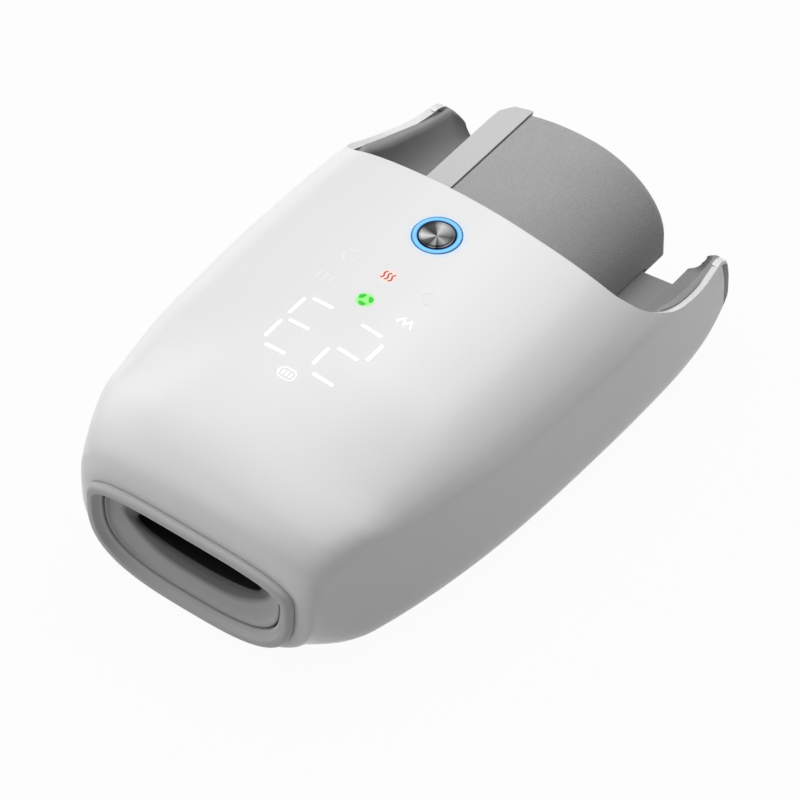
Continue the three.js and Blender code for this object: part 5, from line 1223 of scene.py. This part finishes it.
def make_battery_sign():
    bm = bmesh.new()
    stroke(bm, BATTERY_SIGN, rounded_box(3.1, 2.2, 1.6), 0.16, 80)
    stroke(bm, BATTERY_SIGN, [(3.5, -0.6), (3.5, 0.6)], 0.2)
    for shift in (-1.6, 0, 1.6):
        stroke(bm, BATTERY_SIGN, [(shift, -0.9), (shift, 0.9)], 0.5)
    finish_sign(bm, "battery_sign", lit_white)


def make_heat_sign():
    bm = bmesh.new()
    for shift in (-1.6, 0, 1.6):
        stroke(bm, HEAT_SIGN, wave(shift, 3.6, 0.45), 0.5)
    finish_sign(bm, "heat_sign", lit_red)


def make_fan_sign():
    """Three short bent blades round a middle that stays open."""
    bm = bmesh.new()
    for turn in (94, 214, 334):
        lean = math.radians(turn)
        middle = (1.55 * math.cos(lean), 1.55 * math.sin(lean))
        blade = [(middle[0] + 0.75 * math.cos(lean + turned),
                  middle[1] + 0.75 * math.sin(lean + turned)) for turned in (-1.9, -1, 0, 1, 1.9)]
        stroke(bm, FAN_SIGN, blade, 1.35, 12)
    finish_sign(bm, "fan_sign", lit_green)


make_faint_signs()
make_zigzag_sign()
make_battery_sign()
make_heat_sign()
make_fan_sign()

# %% [markdown]
# ## Palm rest: cloth over foam
#
# The cushion is a crowned arch with one long slope towards the fingers. Real cloth is drawn tight
# over moulded foam here, so its surface has no folds: it is one smooth curve that rolls over at
# its front and rear ends. The rings below follow the same arch as the frame under it, and the
# rolled ends come from drawing the last rings in along a quarter circle.

# %% Form of the cushion
PALM_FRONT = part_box("palm_cushion")[0][1] / MM
PALM_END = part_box("palm_cushion")[1][1] / MM
PALM_FLOOR = 17.3
PALM_OVERHANG = HORN_END - 7.5 + 0.3
LIP_X = -26.1
CREST_X = -1.0
PALM_RIGHT = 31.5
PALM_TOP = 51.0
PALM_SLOPE_RUN = 78
PALM_SLOPE_DROP = 19
PALM_ROUNDING = 9
PALM_BELT = 24
PALM_REACH = 48
REAR_FOOT = 15.4
ARCH_STEPS = 90


def palm_top(y):
    slope = smooth((PALM_FRONT + PALM_SLOPE_RUN - y) / PALM_SLOPE_RUN)
    rounding = round_drop(PALM_ROUNDING, PALM_FRONT + PALM_ROUNDING - y)
    return PALM_TOP - PALM_SLOPE_DROP * slope - rounding


def palm_arch(y, inset):
    """The arch from the lip on the left over the crest to the foot on the right."""
    top = palm_top(y) - inset
    belt_rise = (PALM_BELT - PALM_FLOOR) * (palm_top(y) - PALM_FLOOR)
    belt = PALM_FLOOR + belt_rise / (PALM_TOP - PALM_FLOOR)
    right = PALM_RIGHT - inset - round_drop(PALM_ROUNDING, PALM_FRONT + PALM_ROUNDING - y)
    lean = math.asin((CREST_X - LIP_X) / PALM_REACH)
    left_turns = [lean * (1 - i / 40) for i in range(40)]
    right_turns = [math.pi / 2 * i / 60 for i in range(61)]
    left_part = [(CREST_X - PALM_REACH * math.sin(turn), belt + (top - belt) * math.cos(turn))
                 for turn in left_turns]
    right_part = [(CREST_X + (right - CREST_X) * math.sin(turn),
                   belt + (top - belt) * math.cos(turn)) for turn in right_turns]
    foot = REAR_FOOT if y > PALM_OVERHANG else PALM_FLOOR
    return even(left_part + right_part + [(right, foot)], ARCH_STEPS + 1)


# %% [markdown]
# The grid runs across the arch in one direction. In the other it goes along the outside from the
# front to the rear, round the rear end and back along the inside. `cushion_rows` gives each row
# its place and its depth below the outer surface, with a quarter circle of 2.6 mm at both ends.

# %% Make the cushion
CUSHION_THICK = 5.0
ROLL = 2.6
ROLL_STEPS = 8
LENGTH_STEPS = 90


def cushion_rows():
    angles = [math.pi / 2 * i / ROLL_STEPS for i in range(ROLL_STEPS + 1)]
    rows = [(PALM_FRONT + ROLL * (1 - math.sin(angle)), ROLL * (1 - math.cos(angle)))
            for angle in angles]
    front, rear = rows[::-1], [(PALM_END - (y - PALM_FRONT), inset) for y, inset in rows]
    straight = PALM_END - PALM_FRONT - 2 * ROLL
    middle = [(PALM_FRONT + ROLL + straight * k / LENGTH_STEPS, 0)
              for k in range(1, LENGTH_STEPS)]
    inside = [(PALM_END - 0.4, CUSHION_THICK), (PALM_FRONT + 5.6, CUSHION_THICK)]
    return [(PALM_FRONT, ROLL)] + front + middle + rear + inside


def make_cushion():
    rows = cushion_rows()
    bm = skinned([[Vector((x, y, z)) for x, z in palm_arch(y, inset)]
                  for y, inset in rows + rows[:1]])
    close_ends(bm)
    piece = finish_piece(bm, "palm_cushion_cloth", cushion_cloth, "housing", ["palm_cushion"],
                         "cloth", 60)


make_cushion()

# %% [markdown]
# ## Pads that are really stuffed
#
# The finger pad and the airbag on the ceiling are soft pieces whose cloth takes its own form, so
# they are simulated. The mesh is copied, remeshed to even small faces, and blown up a little by
# Cloth with pressure and no gravity. The result is applied, and then each point is held to a short
# way from where it started, so that the piece stays clear of its neighbours.

# %% A recipe for stuffed pads
PRESSURE = 3
MOST_GROWTH = 0.25
CLOTH_FRAMES = 20


def node_copy(name):
    bm = bmesh.new()
    bm.from_mesh(nodes[name].data)
    bmesh.ops.remove_doubles(bm, verts=bm.verts, dist=0.01 * MM)
    return bm


def apply_all(piece):
    evaluated = piece.evaluated_get(bpy.context.evaluated_depsgraph_get())
    mesh = bpy.data.meshes.new_from_object(evaluated)
    piece.modifiers.clear()
    piece.data = mesh


def stuffed(name, node_name, material, voxel):
    piece = finish_piece(node_copy(node_name), name, material, "housing")
    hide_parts(node_name)
    remesh = piece.modifiers.new("even_faces", "REMESH")
    remesh.mode = "VOXEL"
    remesh.voxel_size = voxel * MM
    apply_all(piece)
    rest = [vert.co.copy() for vert in piece.data.vertices]
    blow_up(piece)
    for vert, start in zip(piece.data.vertices, rest):
        moved = vert.co - start
        if moved.length > MOST_GROWTH * MM:
            vert.co = start + moved.normalized() * MOST_GROWTH * MM
    finer = piece.modifiers.new("finer", "SUBSURF")
    finer.levels = finer.render_levels = 1
    piece.data.shade_smooth()


def blow_up(piece):
    scene = bpy.context.scene
    cloth = piece.modifiers.new("cloth", "CLOTH")
    cloth.settings.use_pressure = True
    cloth.settings.uniform_pressure_force = PRESSURE
    cloth.settings.effector_weights.gravity = 0
    cloth.settings.quality = 5
    for step in range(1, CLOTH_FRAMES + 1):
        scene.frame_set(step)
    apply_all(piece)
    scene.frame_set(1)


stuffed("finger_pad_cloth_piece", "finger_pad", pad_cloth, 1.6)
stuffed("upper_airbag_cloth", "upper_airbag", airbag_cloth, 1.5)

# %% [markdown]
# ## Liners beside the palm rest
#
# The liners are long thin walls that follow the hand space. Each cross-section is one closed line:
# up the inner wall, over a rounded top edge, across the flat top and down the outer wall. The top
# follows the cover's rim, so the liner ends in the same rounded tip as the horn. Farther in, where
# the cover comes close, the top is lowered until the wall has room below it.

# %% Make both liners
HAND_SHOULDER = 45.0
HAND_DEPTH = 28.0
LINER_WALL = 3.8
LINER_GAP = 0.3
LINER_TOP = 57.0
TOP_STEP = 0.05
TOP_CLEARANCE = 0.4
SHELL_CLEARANCE = 0.12
LINER_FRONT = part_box("left_side_liner")[0][1] / MM
LINER_REAR = HORN_END - 0.05
LINER_FOOT = 44.9
LINER_ROUNDING = 2.6
LINER_STEPS = 24
LINER_ROWS = 90
INNER_POWER = 4
OUTER_POWER = 3
UNDERSIDE_GAP = 1.4
HORN_FOOT = 15.5
HORN_FOOT_RISE = 5
HORN_FOOT_START = 96
HORN_FOOT_RUN = 10.4


def hand_half(y, grow):
    """Widest half width of the hand space, grown outwards."""
    return half_width(y) - SHELL_WALL - LINER_GAP - LINER_WALL + grow


def hand_wall(y, z, grow, power=INNER_POWER):
    """Half width of the hand space at a height, grown outwards by a wall."""
    drop = clamp((HAND_SHOULDER - z) / (HAND_DEPTH + grow))
    return hand_half(y, grow) * rounded(drop, power)


def shell_inside(y, z):
    """Half width just inside the cover's wall at a height."""
    gap = SHELL_WALL + SHELL_CLEARANCE
    rise = clamp((z - shoulder_line(y)) / (top_line(y) - shoulder_line(y) - gap))
    return (half_width(y) - gap) * rounded(rise, crown_power(y))


def foot_height(y, grow, power):
    """Height where the wall meets the foot's place on the deck."""
    return HAND_SHOULDER - (HAND_DEPTH + grow) * rounded(LINER_FOOT / hand_half(y, grow), power)


def liner_top(y):
    """As high as the rim, or as high as the cover leaves room for the wall."""
    top = min(rim_height(y) if y > RIM_TOP else BODY_TOP, LINER_TOP)
    while shell_inside(y, top) < hand_wall(y, top, 0) + LINER_ROUNDING + TOP_CLEARANCE:
        top -= TOP_STEP
    return top


def heights(first, last, steps):
    """Evenly spaced heights, with both ends."""
    return [first + (last - first) * i / steps for i in range(steps + 1)]


def liner_section(y):
    top = liner_top(y)
    lowest = max(bottom_line(y) + UNDERSIDE_GAP, horn_foot(y))
    inner_foot = max(foot_height(y, 0, INNER_POWER), lowest)
    outer_foot = max(foot_height(y, LINER_WALL, OUTER_POWER), lowest)
    low = top - LINER_ROUNDING
    inner = [(hand_wall(y, z, 0), z) for z in heights(inner_foot, low, LINER_STEPS)]
    start = hand_wall(y, low, 0)
    turns = [math.pi / 2 * i / 6 for i in range(1, 7)]
    over = [(start + LINER_ROUNDING * (1 - math.cos(turn)), low + LINER_ROUNDING * math.sin(turn))
            for turn in turns]
    outer = [(min(hand_wall(y, z, LINER_WALL, OUTER_POWER), shell_inside(y, z)), z)
             for z in heights(top, outer_foot, LINER_STEPS)]
    return inner + over + outer


def body_side(y, z):
    """Half width of the body's outer surface at a height."""
    half, shoulder = half_width(y), shoulder_line(y)
    if z > shoulder:
        power, share = crown_power(y), (z - shoulder) / (top_line(y) - shoulder)
    else:
        power, share = keel_power(y), (shoulder - z) / (shoulder - bottom_line(y))
    return half * rounded(clamp(share), power)


def horn_foot(y):
    """Under side of the horn, which rises to its tip."""
    return HORN_FOOT + HORN_FOOT_RISE * smooth((y - HORN_FOOT_START) / HORN_FOOT_RUN)


def lofted_wall(section_at, places, side):
    """A closed wall through one section per place, on the right (1) or the left (-1)."""
    rings = []
    for y in places:
        section = section_at(y)
        rings.append([Vector((side * x, y, z)) for x, z in section + section[:1]])
    bm = skinned(rings)
    close_ends(bm)
    return bm


def closing_places(first, last, rows):
    """Places along Y that draw together towards the rear end."""
    return [first + (last - first) * (1 - (1 - i / rows) ** 1.6) for i in range(rows + 1)]


SIDES = (("left", -1), ("right", 1))
for side, way in SIDES:
    wall = lofted_wall(liner_section, closing_places(LINER_FRONT, LINER_REAR, LINER_ROWS), way)
    finish_piece(wall, f"liner_{side}", mid_grey_plastic, "housing", [f"{side}_side_liner"],
                 "mid_grey")

# %% [markdown]
# The horns end in grey caps that belong to the base. A cap is lofted like a liner, but its outer
# side is the body's own outline, so it is rounded at the rear corner by the same curve. On the cap
# lies a thin white strip, which carries the cover's rim on to the tip of the horn.

# %% Make the horn caps
CAP_FRONT = CREASE + 0.25
CAP_STEPS = 20
CAP_GROWTH = 2.2
CAP_TIP_RISE = 4
CAP_TIP_RUN = 5
RIM_DEPTH = 1.3
RIM_SINK = 0.05
RIM_OVERLAP = 0.1
RIM_STEPS = 6
TIP_ROWS = 24


def cap_section(y):
    top, foot = rim_height(y) - RIM_DEPTH, bottom_line(y) + 0.2
    foot += CAP_TIP_RISE * smooth((y - CAP_FRONT) / CAP_TIP_RUN)
    inner = [(max(hand_wall(y, z, CAP_GROWTH), LINER_FOOT + 0.5), z)
             for z in heights(foot, top, CAP_STEPS)]
    outer = [(max(body_side(y, z), x + 0.3), z) for x, z in reversed(inner)]
    return inner + outer


def rim_tip_section(y):
    """The cover's white rim goes on over the cap to the tip of the horn."""
    top = rim_height(y) - RIM_SINK
    levels = heights(top - RIM_DEPTH + RIM_OVERLAP, top, RIM_STEPS)
    inner = [(shell_inside(y, z) + RIM_OVERLAP, z) for z in levels]
    outer = [(max(body_side(y, z) - RIM_OVERLAP, shell_inside(y, z) + 0.4), z)
             for z in reversed(levels)]
    return inner + outer


def make_tips(name, section_at, places, material, slot):
    for side, way in SIDES:
        bm = lofted_wall(section_at, places, way)
        finish_piece(bm, f"{name}_{side}", material, "housing", slot=slot)


make_tips("horn_cap", cap_section, closing_places(CAP_FRONT, HORN_END, TIP_ROWS), base_plastic,
          "mid_grey")
make_tips("rim_tip", rim_tip_section, closing_places(CREASE - 2.5, HORN_END - 0.3, TIP_ROWS),
          cover_white, "white_gloss")

# %% [markdown]
# ## Pieces with crisp edges
#
# The frame of the palm rest and the base are right in shape, but their edges are knife-sharp. A
# merged copy with flat areas dissolved takes a Bevel modifier well: the thin bright line that it
# leaves along every edge is what makes plastic look moulded. The base also loses the ends of its
# horns, where the new caps stand.

# %% Soften the edges of plastic mouldings
EDGE_WIDTH = 0.3
EDGE_ANGLE = 32


def remove_horn_caps(bm):
    """Cuts the base off where the new caps stand."""
    everything = bm.verts[:] + bm.edges[:] + bm.faces[:]
    cut = bmesh.ops.bisect_plane(
        bm, geom=everything, plane_co=(0, CAP_FRONT * MM, 0), plane_no=(0, 1, 0),
        clear_outer=True)
    edges = [part for part in cut["geom_cut"] if isinstance(part, bmesh.types.BMEdge)]
    bmesh.ops.triangle_fill(bm, edges=edges, use_dissolve=False)


def softened(name, node_name, material, change=None):
    bm = node_copy(node_name)
    bmesh.ops.dissolve_limit(bm, angle_limit=math.radians(0.6), verts=bm.verts, edges=bm.edges)
    if change:
        change(bm)
    piece = finish_piece(bm, name, material, "housing", sharp=EDGE_ANGLE)
    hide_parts(node_name)
    soften_edges(piece, EDGE_WIDTH, segments=2, angle=EDGE_ANGLE)


softened("palm_frame", "palm_rest_frame", light_grey_plastic)
softened("base", "base_shell", base_plastic, change=remove_horn_caps)

# %% [markdown]
# ## Floor and light
#
# The object stands on a plain white floor under soft studio light. The floor looks white to the
# camera through Light Path, so the lamps can stay at a level where the white plastic keeps its
# shading. A big soft lamp overhead does most of the work. Weaker ones behind, at the left and low
# in front lift the slopes that face them, which leaves the right side darker, as in the picture.

# %% Floor
FLOOR_HALF = 3
FLOOR_DROP = 0.0002
FLOOR_TONE = 0.54
FLOOR_WHITE_SHARE = 0.96


def seen_by(tree, first_ray, *other_rays):
    """1 for a ray of one of these kinds, and 0 for any other."""
    path = node(tree, "ShaderNodeLightPath")
    seen, output = path, first_ray
    for ray in other_rays:
        either = node(tree, "ShaderNodeMath", operation="MAXIMUM")
        link(tree, seen, output, either, 0)
        link(tree, path, ray, either, 1)
        seen, output = either, "Value"
    return seen


def white_floor():
    material, tree, shader = paint("white_floor", Roughness=0.9, Specular_IOR_Level=0.1)
    shader.inputs["Base Color"].default_value = (FLOOR_TONE, FLOOR_TONE, FLOOR_TONE, 1)
    seen = seen_by(tree, "Is Camera Ray", "Is Glossy Ray", "Is Transmission Ray")
    share = node(tree, "ShaderNodeMath", {1: FLOOR_WHITE_SHARE}, operation="MULTIPLY")
    link(tree, seen, "Value", share, 0)
    white = node(tree, "ShaderNodeEmission", {"Strength": 1.0})
    mix = node(tree, "ShaderNodeMixShader")
    link(tree, share, "Value", mix, 0)
    tree.links.new(shader.outputs["BSDF"], mix.inputs[1])
    tree.links.new(white.outputs["Emission"], mix.inputs[2])
    tree.links.new(mix.outputs["Shader"], tree.nodes["Material Output"].inputs["Surface"])
    return material


def make_floor():
    bm = bmesh.new()
    bmesh.ops.create_grid(bm, x_segments=1, y_segments=1, size=FLOOR_HALF)
    bmesh.ops.translate(bm, vec=(0, 0, -FLOOR_DROP), verts=bm.verts)
    floor = add_object("floor", mesh_of(bm, "floor", white_floor()))


make_floor()

# %% [markdown]
# The world gives only a little even light, and square area lamps give the rest. A lamp's size
# decides how soft its shadow is, and its place decides where the gloss shows.

# %% World and lamps
WORLD_LEVEL = 0.03
MIDDLE = (0, 0, 0.05)
LAMPS = [("overhead_box", (0, 0, 1.8), 2.4, 22.5),
         ("left_rear_box", (-0.95, 0.6, 1.8), 1.6, 9),
         ("rear_box", (0, 1.5, 1.5), 1.4, 15),
         ("left_box", (-1.8, 0, 0.9), 1.4, 8),
         ("front_left_box", (-1.3, -1.3, 0.8), 1.4, 9.5)]


def light_world():
    world = bpy.data.worlds.new("studio")
    world.use_nodes = True
    tree = world.node_tree
    background = tree.nodes["Background"]
    seen = seen_by(tree, "Is Camera Ray", "Is Transmission Ray")
    strength = spread(tree, seen, "Value", WORLD_LEVEL, 1.0)
    background.inputs["Color"].default_value = (1, 1, 1, 1)
    link(tree, strength, "Result", background, "Strength")
    bpy.context.scene.world = world


def soft_lamp(name, place, size, power):
    data = bpy.data.lights.new(name, "AREA")
    data.shape = "RECTANGLE"
    data.size = data.size_y = size
    data.energy = power
    lamp = add_object(name, data)
    away = Vector(place) - Vector(MIDDLE)
    lamp.location = place
    lamp.rotation_euler = away.to_track_quat("Z", "Y").to_euler()


light_world()
for name, place, size, power in LAMPS:
    soft_lamp(name, place, size, power)
bpy.context.scene.view_settings.view_transform = "Standard"
print("lamps:", [item.name for item in bpy.data.lights])
